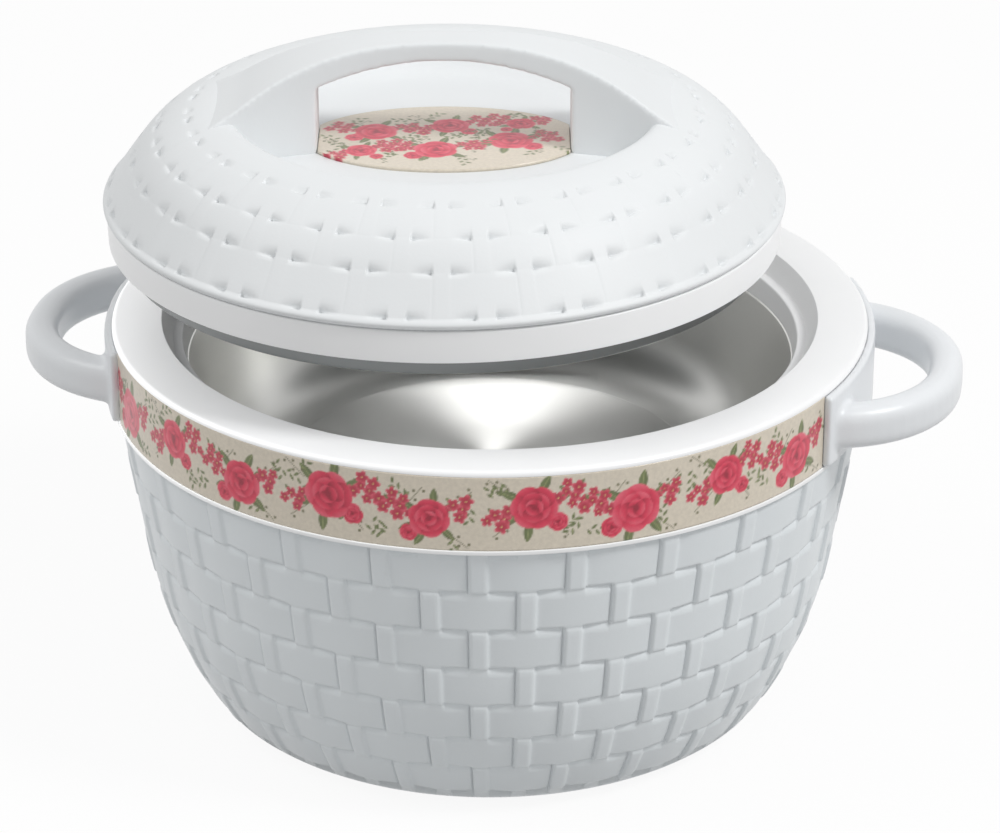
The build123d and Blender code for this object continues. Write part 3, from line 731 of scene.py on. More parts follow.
def moulded_plastic(name, tone, roughness):
    """White moulded plastic: faint flow clouds, a fine orange peel and a soft gloss."""
    material, tree, shader = new_material(name)
    place = object_places(tree)
    clouds = add_noise(tree, place, scale=35, detail=3)
    dark = [0.975 * c for c in tone]
    pale = [min(1.0, 1.02 * c) for c in tone]
    peel = add_noise(tree, place, scale=900, detail=2)
    feed(tree, shader, {
        "Base Color": add_tint(tree, clouds, dark, pale),
        "Roughness": add_range(tree, clouds, roughness - 0.03, roughness + 0.05),
        "Normal": add_bump(tree, peel, strength=0.06, distance=0.0004),
        "IOR": 1.48,
    })
    return material


def turned_steel(name, tone, roughness, brushing):
    """Polished steel with faint rings from a lathe; brushing stretches its highlights into fans."""
    material, tree, shader = new_material(name)
    place = object_places(tree)
    split = add_node(tree, "ShaderNodeSeparateXYZ", {"Vector": place}).outputs
    flat = add_node(tree, "ShaderNodeCombineXYZ", {"X": split["X"], "Y": split["Y"]}).outputs["Vector"]
    reach = add_node(tree, "ShaderNodeVectorMath", {0: flat}, operation="LENGTH").outputs["Value"]
    ring = add_node(tree, "ShaderNodeCombineXYZ", {"X": reach, "Y": split["Z"]}).outputs["Vector"]
    around = add_node(tree, "ShaderNodeTangent", {}, direction_type="RADIAL", axis="Z")
    smears = add_noise(tree, place, scale=22, detail=4)
    rings = add_noise(tree, ring, scale=1400, detail=3)
    feed(tree, shader, {
        "Base Color": add_tint(tree, smears, [0.94 * c for c in tone], tone),
        "Roughness": add_range(tree, smears, *roughness),
        "Normal": add_bump(tree, rings, strength=0.10, distance=0.00005),
        "Tangent": around.outputs["Tangent"],
        "Anisotropic": brushing,
        "Anisotropic Rotation": 0.25,
        "Metallic": 1.0,
    })
    return material


def printed_film(name):
    """Flower print under a clear gloss, read from the piece's own painted colours."""
    material, tree, shader = new_material(name)
    place = object_places(tree)
    painted = add_node(tree, "ShaderNodeAttribute", {}, attribute_name="flower_print")
    grain = add_range(tree, add_noise(tree, place, scale=700, detail=2), 0.94, 1.05)
    sockets = {"Value": grain, "Color": painted.outputs["Color"]}
    strokes = add_node(tree, "ShaderNodeHueSaturation", sockets)
    feed(tree, shader, {
        "Base Color": strokes.outputs["Color"],
        "Roughness": add_range(tree, add_noise(tree, place, scale=60, detail=2), 0.30, 0.38),
        "Coat Weight": 0.25,
        "Coat Roughness": 0.15,
    })
    return material


def rigid_foam(name, tone):
    """Cellular foam, pale and matt."""
    material, tree, shader = new_material(name)
    sockets = {"Vector": object_places(tree), "Scale": 600}
    cells = add_node(tree, "ShaderNodeTexVoronoi", sockets).outputs["Distance"]
    feed(tree, shader, {
        "Base Color": add_tint(tree, cells, tone, [0.85 * c for c in tone]),
        "Normal": add_bump(tree, cells, strength=0.3, distance=0.0005),
        "Roughness": 0.85,
    })
    return material


def paint_node(node, material):
    """Give a solid that stays its finished material."""
    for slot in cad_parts[node].material_slots:
        slot.material = material


# Flower print, painted on the vertices of a film

def blend(first, second, share):
    """Mix two colours by a share."""
    return first * (1 - share) + second * share


def step_off(x, y, reach, turn):
    """Point at a distance from another, in a direction."""
    return x + reach * cos(turn), y + reach * sin(turn)


class FlowerPainter:
    """Paints flowers on flat places, in millimetres across and up the film."""

    def __init__(self, across, up, finishes, seed):
        self.across = across
        self.up = up
        self.chance = np.random.default_rng(seed)
        self.tones = {name: np.array(getattr(finishes, name)) for name in PRINT_TONES}
        self.colours = np.tile(self.tones["ground"], (len(across), 1))

    def near(self, x, y, reach):
        """Places within reach of a point, and their offsets from it."""
        dx = self.across - x
        dy = self.up - y
        found = np.flatnonzero((np.abs(dx) < reach) & (np.abs(dy) < reach))
        return found, dx[found], dy[found]

    def facing(self, x, y, size, turn):
        """Places near a point, and how far out and to the side they lie, in parts of a size."""
        found, dx, dy = self.near(x, y, 1.1 * size)
        out = (dx * cos(turn) + dy * sin(turn)) / size
        side = (-dx * sin(turn) + dy * cos(turn)) / size
        return found, out, side

    def any_turn(self):
        """Direction drawn by chance."""
        return self.chance.uniform(0, 2 * pi)

    def lay(self, found, paint, inside, soft, bias):
        """Lay paint over places by how far inside an edge they lie, with a soft border."""
        cover = np.clip(inside / soft + bias, 0, 1)[:, None]
        self.colours[found] = blend(self.colours[found], paint, cover)

    def leaf(self, x, y, size, turn):
        """Pointed leaf with a pale rib."""
        found, out, side = self.facing(x, y, size, turn)
        half = LEAF_HALF * np.sin(pi * np.clip(out, 0, 1)) ** 0.8
        rib = np.clip(1 - np.abs(side) / LEAF_RIB, 0, 1)
        tone = np.clip(0.5 + 2.2 * side, 0, 1) * LEAF_SHADE
        paint = blend(self.tones["leaf"], self.tones["leaf_pale"], np.maximum(rib, tone)[:, None])
        inside = np.where((out > 0) & (out < 1), (half - np.abs(side)) * size, -size)
        self.lay(found, paint, inside, soft=0.35, bias=0.4)

    def petal(self, x, y, size, turn, tone):
        """Broad rose petal: deep at its foot, pale along its outer edge."""
        found, out, side = self.facing(x, y, size, turn)
        reach = np.hypot(out / PETAL_LONG, side / PETAL_WIDE)
        light = np.clip(0.30 + 0.70 * out + tone, 0, 1)[:, None]
        paint = blend(self.tones["rose_deep"], self.tones["rose"], np.clip(2 * light, 0, 1))
        paint = blend(paint, self.tones["rose_pale"], np.clip(2 * light - 1, 0, 1))
        self.lay(found, paint, (1 - reach) * size, soft=0.5, bias=0.3)

    def rose(self, x, y, size, turn):
        """Full rose: three rings of petals round a dark heart."""
        for ring, petal_size, count in ROSE_RINGS:
            for k in range(count):
                around = turn + 2 * pi * (k + self.chance.uniform(-0.15, 0.15)) / count
                tone = self.chance.uniform(-0.12, 0.16)
                self.petal(*step_off(x, y, ring * size, around), petal_size * size, around, tone)
            turn += ROSE_TWIST
        found, dx, dy = self.near(x, y, size)
        self.lay(found, self.tones["rose_deep"], ROSE_HEART * size - np.hypot(dx, dy), soft=0.4, bias=0.5)

    def blossom(self, x, y, size, turn):
        """Small open blossom of five petals."""
        found, dx, dy = self.near(x, y, 1.2 * size)
        reach = np.hypot(dx, dy) / size
        around = np.arctan2(dy, dx) + turn
        edge = BLOSSOM_NECK + (1 - BLOSSOM_NECK) * np.abs(np.cos(2.5 * around)) ** 0.7
        light = np.clip(0.25 + 0.75 * reach, 0, 1)[:, None]
        tip = np.clip((reach - 0.6) * 1.8, 0, 1)[:, None]
        paint = blend(self.tones["rose_deep"], self.tones["blossom"], light)
        paint = blend(paint, self.tones["rose_pale"], tip)
        self.lay(found, paint, (edge - reach) * size, soft=0.4, bias=0.4)
        self.lay(found, self.tones["blossom_heart"], (BLOSSOM_HEART - reach) * size, soft=0.4, bias=0.4)

    def stem(self, x, y, reach, turn):
        """Thin straight stem."""
        found, dx, dy = self.near(x, y, reach + 2)
        run = np.clip(dx * cos(turn) + dy * sin(turn), 0, reach)
        away = np.hypot(dx - run * cos(turn), dy - run * sin(turn))
        self.lay(found, self.tones["stem"], STEM_HALF - away, soft=0.35, bias=0.5)

    def seeds(self, x, y, turn, count):
        """Sprig of small seeds on a thin stem."""
        self.stem(x, y, SEED_STEP * count, turn)
        for k in range(count):
            side = SEED_SIDE if k % 2 else -SEED_SIDE
            seed = step_off(*step_off(x, y, SEED_STEP * (k + 0.8), turn), side, turn + pi / 2)
            found, dx, dy = self.near(*seed, 2 * SEED_RADIUS)
            self.lay(found, self.tones["stem"], SEED_RADIUS - np.hypot(dx, dy), soft=0.35, bias=0.3)

    def sprig(self, x, y, turn):
        """Twig of tiny leaves."""
        for k in range(TWIG_LEAVES):
            lean = 0.8 if k % 2 else -0.8
            self.leaf(*step_off(x, y, TWIG_STEP * k, turn), TWIG_LEAF, turn + lean)

    def cluster(self, x, y, count):
        """Handful of blossoms with small leaves under them."""
        spiral = [(CLUSTER_TURN * k, sqrt(k + 0.3)) for k in range(count)]
        for around, reach in spiral[1::2]:
            self.leaf(*step_off(x, y, 1.9 * reach, around), CLUSTER_LEAF, around)
        for around, reach in spiral:
            size = self.chance.uniform(2.0, 2.9)
            self.blossom(x + 2.3 * reach * cos(around), y + 2.0 * reach * sin(around), size, self.any_turn())

    def posy(self, x, y, size, flip):
        """Rose among leaves, with a bud, clusters of blossoms and sprigs of seeds round it."""
        for turn in POSY_LEAVES:
            lean = self.chance.uniform(-0.3, 0.3)
            self.leaf(*step_off(x, y, 0.62 * size, turn), 0.95 * size, turn + lean)
        self.seeds(x - flip * 1.0 * size, y + 5, pi / 2 + flip * 0.9, 4)
        self.seeds(x - flip * 0.8 * size, y - 5, -pi / 2 - flip * 0.9, 4)
        self.seeds(x + flip * 0.9 * size, y - flip * 6, -flip * 0.9, 3)
        for side in (-1, 1):
            self.sprig(x + side * 1.9 * size, y - side * flip * 5.5, self.any_turn())
            self.sprig(x + side * 1.1 * size, y - side * 8.0, self.any_turn())
        self.cluster(x + flip * 1.5 * size, y + 3.8, 7)
        self.cluster(x - flip * 1.35 * size, y - 4 * flip, 5)
        self.rose(x + flip * 0.95 * size, y - 5.8, 0.45 * size, self.any_turn())
        self.rose(x, y, size, self.any_turn())


def wear_print(piece, painter):
    """Keep the painted colours on the piece's vertices."""
    layer = piece.data.color_attributes.new("flower_print", "FLOAT_COLOR", "POINT")
    full = np.ones((len(painter.colours), 4))
    full[:, :3] = painter.colours
    layer.data.foreach_set("color", full.ravel())


# Operators, one for each piece or group of like pieces

class POT_OT_woven_body(bpy.types.Operator):
    """Woven plastic shell with its heel, base and foot ring"""

    bl_idname = "pot.woven_body"
    bl_label = "Woven body"

    def execute(self, context):
        pot = context.scene.pot_sizes
        weave = context.scene.weave_sizes
        edges = [weave.start + row * weave.pitch for row in range(weave.rows + 1)]
        stations = [0.0] + row_stations(edges, False)
        stations += list(np.linspace(edges[-1], pot.wall_run, HEEL_STEPS + 1)[1:])
        outside = [body_point(pot, along) for along in stations]
        foot = outside[-1][0]
        inset = weave.groove + pot.wall
        inside = [body_point(pot, along) for along in np.linspace(pot.wall_run, 0.0, INSIDE_STEPS + 1)]
        outline = outside + [
            (foot - pot.foot_width, 0.0),
            (foot - pot.foot_width, pot.base_lift),
            (0.0, pot.base_lift),
            (0.0, inset),
            *((r - inset, max(z, inset)) for r, z in inside),
        ]
        body = spin_round("woven_body", outline, weave_columns(weave))
        crowd_columns(body, weave, weave.phase)
        places = vertex_places(body)
        wall_r, wall_z = np.array(outside)[::-1].T
        away = np.hypot(places[:, 0], places[:, 1]) - np.interp(places[:, 2], wall_z, wall_r)
        along = np.interp(places[:, 2], wall_z, stations[::-1])
        depth = row_depths(weave, BODY_RELIEF, places, along, edges, weave.phase, False)
        press_weave(body, np.where(np.abs(away) < BODY_NEAR, depth, 0), weave.groove)
        plastic = moulded_plastic("body_plastic", context.scene.finishes.body_white, roughness=0.34)
        finish_piece(body, "pot", "outer_body", plastic)
        paint_node("foam_plug", plastic)
        return {"FINISHED"}


class POT_OT_collar(bpy.types.Operator):
    """Rim moulding with its skirt, flat top, stepped seat and throat"""

    bl_idname = "pot.collar"
    bl_label = "Collar"

    def execute(self, context):
        pot = context.scene.pot_sizes
        slope = tan(pot.seat_angle)
        band_seat = pot.rim_radius - pot.band_film - pot.film_gap
        ledge = pot.rim_top - pot.seat_depth
        seat_foot = pot.seat_radius - pot.seat_depth * slope
        seat_wall = pot.wall / cos(pot.seat_angle) - pot.wall * slope
        low = pot.band_bottom - pot.bead_height
        flange = ledge - pot.throat_depth
        skirt = band_seat - pot.wall
        outline = rounded([
            (pot.rim_radius + pot.bead_proud, low, pot.edge_round / 2),
            (pot.rim_radius + pot.bead_proud, pot.band_bottom, pot.edge_round / 2),
            (band_seat, pot.band_bottom, 0),
            (band_seat, pot.band_top, 0),
            (pot.rim_radius, pot.band_top, 0),
            (pot.rim_radius, pot.rim_top, pot.rim_round),
            (pot.seat_radius, pot.rim_top, pot.seat_round),
            (seat_foot, ledge, pot.edge_round),
            (pot.ledge_radius, ledge, pot.edge_round),
            (pot.ledge_radius - pot.throat_draft, flange, 0),
            (pot.ledge_radius + pot.wall, flange, 0),
            (pot.ledge_radius + pot.wall, ledge - pot.wall, 0),
            (seat_foot + seat_wall, ledge - pot.wall, 0),
            (pot.seat_radius + seat_wall, pot.rim_top - pot.wall, 0),
            (skirt, pot.rim_top - pot.wall, 0),
            (skirt, low, 0),
        ])
        collar = spin_round("collar_moulding", outline)
        plastic = moulded_plastic("collar_plastic", context.scene.finishes.collar_white, roughness=0.32)
        finish_piece(collar, "pot", "collar", plastic)
        return {"FINISHED"}


class POT_OT_print_bands(bpy.types.Operator):
    """Printed film round the collar, in front and behind"""

    bl_idname = "pot.print_bands"
    bl_label = "Printed bands"

    def execute(self, context):
        pot = context.scene.pot_sizes
        film = printed_film("band_print")
        low = pot.band_bottom + pot.film_gap
        high = pot.band_top - pot.film_gap
        sweep = pi - 2 * pot.root_angle
        rows = int((high - low) / PRINT_STEP)
        steps = int(sweep * pot.rim_radius / PRINT_STEP)
        span = MM * sweep * pot.rim_radius
        middle = MM * (pot.band_top - pot.band_bottom) / 2
        bands = (("front", pi + pot.root_angle, FRONT_SEED), ("back", pot.root_angle, BACK_SEED))
        for side, start, seed in bands:
            x, y = step_off(0, 0, pot.rim_radius, start)
            points = [(x, y, low + (high - low) * k / rows) for k in range(rows + 1)]
            band = turn_round("flower_band_" + side, points, steps, sweep, False)
            places = vertex_places(band)
            turned = np.arctan2(places[:, 1], places[:, 0]) - start
            turned = (turned + pi / 2) % (2 * pi) - pi / 2
            across = MM * pot.rim_radius * turned
            up = MM * (places[:, 2] - low)
            painter = FlowerPainter(across, up, context.scene.finishes, seed)
            for k in range(BAND_POSIES):
                flip = 1 if k % 2 else -1
                size = BAND_POSY_SIZES[k % len(BAND_POSY_SIZES)]
                painter.posy(span * (k + 0.5) / BAND_POSIES, middle + BAND_SWAY * flip, size, flip)
            wear_print(band, painter)
            put_modifier(band, "SOLIDIFY", thickness=pot.band_film, offset=-1.0)
            finish_piece(band, "pot", "print_band_" + side, film)
        return {"FINISHED"}


class POT_OT_handles(bpy.types.Operator):
    """Two loop handles with their root plates"""

    bl_idname = "pot.handles"
    bl_label = "Loop handles"

    def loop(self, pot, name):
        """Loop from the collar out, round two corners and back."""
        arm = (pot.handle_width - pot.grip_width) / 2
        half = pot.grip_height / 2
        bend = pot.handle_reach - pot.loop_corner
        start = bend - pot.wall
        turn_at = pot.handle_width / 2 - pot.loop_corner
        section = rounded([
            (-arm - pot.grip_width / 2, pot.handle_middle - half, pot.grip_round),
            (-arm + pot.grip_width / 2, pot.handle_middle - half, pot.grip_round),
            (-arm + pot.grip_width / 2, pot.handle_middle + half, pot.grip_round),
            (-arm - pot.grip_width / 2, pot.handle_middle + half, pot.grip_round),
        ])
        loop = draw_line(name, [(start, y, z) for y, z in section], True)
        push_on((bend - start, 0, 0))
        bpy.ops.mesh.spin(steps=LOOP_STEPS, angle=-pi / 2, center=(bend, -turn_at, 0), axis=(0, 0, 1))
        push_on((0, 2 * turn_at, 0))
        bpy.ops.mesh.spin(steps=LOOP_STEPS, angle=-pi / 2, center=(bend, turn_at, 0), axis=(0, 0, 1))
        push_on((start - bend, 0, 0))
        close_ends(loop)
        return loop

    def root_plate(self, pot, band_seat):
        """Curved plate that lies on the collar."""
        low = pot.band_bottom + pot.film_gap
        high = pot.band_top - pot.film_gap
        outline = rounded([
            (band_seat - pot.wall / 2, low, 0),
            (band_seat + pot.root_thickness, low, pot.edge_round),
            (band_seat + pot.root_thickness, high, pot.edge_round),
            (band_seat - pot.wall / 2, high, 0),
        ])
        plate = draw_line("root_plate", [(*step_off(0, 0, r, -pot.root_angle), z) for r, z in outline], True)
        bpy.ops.mesh.spin(steps=PLATE_STEPS, angle=-2 * pot.root_angle, center=(0, 0, 0), axis=(0, 0, 1))
        close_ends(plate)
        return plate

    def execute(self, context):
        pot = context.scene.pot_sizes
        finishes = context.scene.finishes
        plastic = moulded_plastic("handle_plastic", finishes.handle_white, roughness=0.32)
        band_seat = pot.rim_radius - pot.band_film
        core = [(0, 0), (band_seat, 0), (band_seat, 2 * pot.rim_top), (0, 2 * pot.rim_top)]
        for side, turn in (("right", 0.0), ("left", pi)):
            name = "loop_handle_" + side
            handle = join_pieces(name, [self.loop(pot, name), self.root_plate(pot, band_seat)])
            fuse(handle)
            cut_with(handle, spin_round("collar_core", core, 2 * ROUND_STEPS), "DIFFERENCE")
            melt_edges(handle)
            handle.data.transform(Matrix.Rotation(turn, 4, "Z"))
            finish_piece(handle, "pot", "handle_" + side, plastic)
        paint_node("handle_screws", turned_steel("screw_plating", finishes.screw, (0.3, 0.4), brushing=0.0))
        return {"FINISHED"}


class POT_OT_steel_bowl(bpy.types.Operator):
    """Pressed steel bowl with its flange, tapered wall and raised floor panel"""

    bl_idname = "pot.steel_bowl"
    bl_label = "Steel bowl"

    def execute(self, context):
        pot = context.scene.pot_sizes
        slope = tan(pot.bowl_taper)
        flange = pot.rim_top - pot.seat_depth - pot.throat_depth
        floor = pot.rim_top - pot.bowl_depth
        corner = pot.mouth_radius - (flange - floor) * slope
        side = pot.steel / cos(pot.bowl_taper) - pot.steel * slope
        rim = pot.mouth_radius + pot.flange_width
        outline = rounded([
            (rim, flange, 0),
            (pot.mouth_radius, flange, pot.edge_round),
            (corner, floor, pot.bowl_corner),
            (pot.panel_radius + pot.panel_rise, floor, pot.panel_rise),
            (pot.panel_radius, floor + pot.panel_rise, pot.panel_rise),
            (0, floor + pot.panel_rise, 0),
            (0, floor + pot.panel_rise - pot.steel, 0),
            (pot.panel_radius, floor + pot.panel_rise - pot.steel, pot.panel_rise),
            (pot.panel_radius + pot.panel_rise, floor - pot.steel, pot.panel_rise),
            (corner + side, floor - pot.steel, pot.bowl_corner + pot.steel),
            (pot.mouth_radius + side, flange - pot.steel, pot.edge_round),
            (rim, flange - pot.steel, 0),
        ])
        bowl = spin_round("steel_bowl_polished", outline)
        steel = turned_steel("bowl_steel", context.scene.finishes.steel, (0.28, 0.34), brushing=0.9)
        finish_piece(bowl, "pot", "steel_bowl", steel)
        foam = rigid_foam("insulating_foam", context.scene.finishes.foam)
        paint_node("body_foam", foam)
        paint_node("lid_foam", foam)
        return {"FINISHED"}


class POT_OT_lid_cover(bpy.types.Operator):
    """Woven lid with its bead, recessed crown and bridge"""

    bl_idname = "pot.lid_cover"
    bl_label = "Lid cover"

    def woven_flank(self, lid, weave):
        """Dome with its woven rows above the bead."""
        edges = [0.0]
        for height in weave.lid_rows:
            edges.append(edges[-1] + height)
        stations = row_stations(edges, True)
        outside = [dome_point(lid, along) for along in stations]
        outer = lid.ring_radius + lid.ring_flare
        bulge = lid.bead_radius - lid.dome_radius
        bead_low = lid.ring_height + lid.bead_gap
        bead = [(outer - 2 * lid.bead_gap, lid.ring_height), (outer - 2 * lid.bead_gap, bead_low)]
        bead += [(outer + (lid.dome_radius - outer) * t + bulge * sin(pi * t),
                  bead_low + (lid.dome_start - bead_low) * t) for t in np.linspace(0, 1, BEAD_STEPS + 1)[:-1]]
        crown = np.linspace(outside[-1][0], lid.crown_edge, CROWN_STEPS + 1)[1:]
        under = np.linspace(lid.crown_edge, lid.dome_inside, INSIDE_STEPS + 1)
        outline = bead + outside + [
            *((r, dome_height(lid, r)) for r in crown),
            *((r, dome_height(lid, r) - lid.dome_wall) for r in under),
            (lid.dome_inside, lid.ring_height),
        ]
        flank = spin_round("woven_lid", outline, weave_columns(weave))
        front = -pi / 2
        crowd_columns(flank, weave, front)
        places = vertex_places(flank)
        reach = np.hypot(places[:, 0], places[:, 1])
        wall_r, wall_z = np.array(outside)[::-1].T
        away = places[:, 2] - np.interp(reach, wall_r, wall_z)
        along = np.interp(reach, wall_r, stations[::-1])
        depth = row_depths(weave, LID_RELIEF, places, along, edges, front + pi / weave.bricks, True)
        press_weave(flank, np.where(np.abs(away) < LID_NEAR, depth, 0), weave.lid_groove)
        return flank

    def recess(self, pot, lid):
        """Round recess with its rolled lip, out to under the woven rows."""
        slope = tan(lid.recess_draft)
        lip_z = dome_height(lid, lid.recess_radius)
        floor = lid.recess_floor
        floor_r = lid.recess_radius - (lip_z - floor) * slope
        side = pot.wall / cos(lid.recess_draft)
        under_r = floor_r + side - pot.wall * slope
        rim = [(r, dome_height(lid, r) - dip, 0) for r, dip in RECESS_RIM]
        edge = RECESS_RIM[-1][0]
        outline = rounded([
            (0, floor, 0),
            (floor_r, floor, lid.recess_corner),
            (lid.recess_radius, lip_z, lid.recess_lip),
            *rim,
            (edge, dome_height(lid, edge) - lid.rim_wall, 0),
            (lid.recess_radius + side, lip_z - lid.rim_wall, 0),
            (under_r, floor - pot.wall, lid.recess_corner),
            (0, floor - pot.wall, 0),
        ])
        return spin_round("lid_recess", outline)

    def bridge_top(self, lid, x, half_width):
        """Height of the bridge's top along its length, flowing into the dome at both ends."""
        rise = lid.bridge_height - lid.crest_height
        arch = lid.bridge_height - rise * (abs(x) / lid.bridge_half) ** ARCH_POWER
        dome = dome_height(lid, hypot(x, half_width))
        overlap = max(0.0, lid.bridge_blend - abs(arch - dome))
        buried = SINK_DEPTH + SINK_SLOPE * max(0.0, abs(x) - lid.bridge_half)
        return max(arch, dome) + overlap ** 2 / (4 * lid.bridge_blend) - buried

    def bridge(self, pot, lid):
        """Arched bar with hollow sides and a finger window, flowing into the dome."""
        floor = lid.recess_floor
        under = floor - pot.wall / 2
        reach = lid.bridge_half + lid.bridge_tail
        runs = np.linspace(-reach, reach, BRIDGE_STEPS + 1)
        wide = [lid.bridge_waist + lid.bridge_sweep - sqrt(lid.bridge_sweep ** 2 - x * x) for x in runs]
        front = [(x, -w, under) for x, w in zip(runs, wide)]
        back = [(x, w, under) for x, w in zip(runs, wide)]
        bar = raise_prism("lid_bridge", front + back[::-1], (0, 0, lid.bridge_height))
        arch = [(x, -reach, self.bridge_top(lid, x, w)) for x, w in zip(runs, wide)]
        ends = [(reach, -reach, 0), (-reach, -reach, 0)]
        cut_with(bar, raise_prism("bridge_arch", arch + ends, (0, 2 * reach, 0)), "INTERSECT")
        rise = lid.window_middle - lid.window_side
        crest = [(x, -reach, floor + lid.window_side + rise * (1 - (x / lid.window_half) ** 2))
                 for x in np.linspace(lid.window_half, -lid.window_half, WINDOW_STEPS + 1)]
        feet = [(-lid.window_half, -reach, floor - pot.wall), (lid.window_half, -reach, floor - pot.wall)]
        window = raise_prism("bridge_window", feet + crest, (0, 2 * reach, 0))
        cut_with(bar, window, "DIFFERENCE")
        melt_edges(bar)
        return bar

    def execute(self, context):
        pot = context.scene.pot_sizes
        lid = context.scene.lid_sizes
        flank = self.woven_flank(lid, context.scene.weave_sizes)
        cover = join_pieces("lid_cover_woven", [flank, self.recess(pot, lid), self.bridge(pot, lid)])
        seat_on_lid(cover)
        plastic = moulded_plastic("lid_plastic", context.scene.finishes.lid_white, roughness=0.50)
        finish_piece(cover, "lid", "lid_cover", plastic)
        return {"FINISHED"}


class POT_OT_lid_disc(bpy.types.Operator):
    """Printed oval disc under the bridge"""

    bl_idname = "pot.lid_disc"
    bl_label = "Printed disc"

    def execute(self, context):
        lid = context.scene.lid_sizes
        top = lid.recess_floor + lid.disc_thickness
        spokes = [(r, top) for r in np.linspace(0, lid.disc_length / 2, DISC_RINGS + 1)]
        disc = spin_round("flower_disc", spokes, DISC_STEPS, closed=False)
        bpy.ops.object.mode_set(mode="EDIT")
        bpy.ops.mesh.select_all(action="SELECT")
        bpy.ops.transform.resize(value=(1, lid.disc_width / lid.disc_length, 1), center_override=(0, 0, 0))
        end = lid.window_half - lid.disc_gap
        for way in (1, -1):
            bpy.ops.mesh.select_all(action="SELECT")
            bpy.ops.mesh.bisect(plane_co=(way * end, 0, 0), plane_no=(way, 0, 0), clear_outer=True)
        bpy.ops.object.mode_set(mode="OBJECT")
        places = MM * vertex_places(disc)
        painter = FlowerPainter(places[:, 0], places[:, 1], context.scene.finishes, DISC_SEED)
        for posy in DISC_POSIES:
            painter.posy(*posy)
        wear_print(disc, painter)
        put_modifier(disc, "SOLIDIFY", thickness=lid.disc_thickness, offset=-1.0)
        seat_on_lid(disc)
        finish_piece(disc, "lid", "lid_disc", printed_film("disc_print"))
        return {"FINISHED"}


class POT_OT_lid_ring(bpy.types.Operator):
    """Plain ring under the lid's bead, with the cone behind the liner"""

    bl_idname = "pot.lid_ring"
    bl_label = "Lid ring"

    def execute(self, context):
        pot = context.scene.pot_sizes
        lid = context.scene.lid_sizes
        slope = tan(pot.seat_angle)
        top = lid.ring_radius + lid.ring_flare
        cone = lid.plug_radius - pot.steel / cos(pot.seat_angle) - pot.film_gap
        depth = lid.plug_depth - pot.steel - lid.cone_gap
        outline = rounded([
            (lid.ring_radius, 0, pot.seat_round),
            (top, lid.ring_height, pot.edge_round),
            (top - pot.wall, lid.ring_height, 0),
            (top - pot.wall, lid.flange_thickness, 0),
            (cone - pot.wall, lid.flange_thickness, 0),
            (cone - pot.wall - depth * slope, -depth, 0),
            (cone - depth * slope, -depth, 0),
            (cone, 0, 0),
        ])
        ring = spin_round("lid_ring_plain", outline)
        seat_on_lid(ring)
        plastic = moulded_plastic("ring_plastic", context.scene.finishes.collar_white, roughness=0.33)
        finish_piece(ring, "lid", "lid_ring", plastic)
        return {"FINISHED"}


class POT_OT_lid_liner(bpy.types.Operator):
    """Shallow steel pan under the lid"""

    bl_idname = "pot.lid_liner"
    bl_label = "Lid liner"

    def execute(self, context):
        pot = context.scene.pot_sizes
        lid = context.scene.lid_sizes
        slope = tan(pot.seat_angle)
        side = pot.steel / cos(pot.seat_angle)
        corner = lid.plug_radius - lid.plug_depth * slope
        raised = lid.liner_rise - lid.plug_depth
        outline = rounded([
            (lid.plug_radius, -pot.film_gap, 0),
            (corner, -lid.plug_depth, lid.plug_corner),
            (lid.liner_panel + lid.liner_rise, -lid.plug_depth, lid.liner_rise),
            (lid.liner_panel, raised, lid.liner_rise),
            (0, raised, 0),
            (0, raised + pot.steel, 0),
            (lid.liner_panel, raised + pot.steel, lid.liner_rise),
            (lid.liner_panel + lid.liner_rise, -lid.plug_depth + pot.steel, lid.liner_rise),
            (corner - side + pot.steel * slope, -lid.plug_depth + pot.steel, lid.plug_corner - pot.steel),
            (lid.plug_radius - side, -pot.film_gap, 0),
        ])
        liner = spin_round("lid_liner_polished", outline)
        seat_on_lid(liner)
        # Dark liner steel: painted shade for the strip below the lid's ring, darker than the steel's own tone
        steel = turned_steel("liner_steel_painted_shade", context.scene.finishes.liner, (0.32, 0.42), brushing=0.0)
        finish_piece(liner, "lid", "lid_liner", steel)
        return {"FINISHED"}


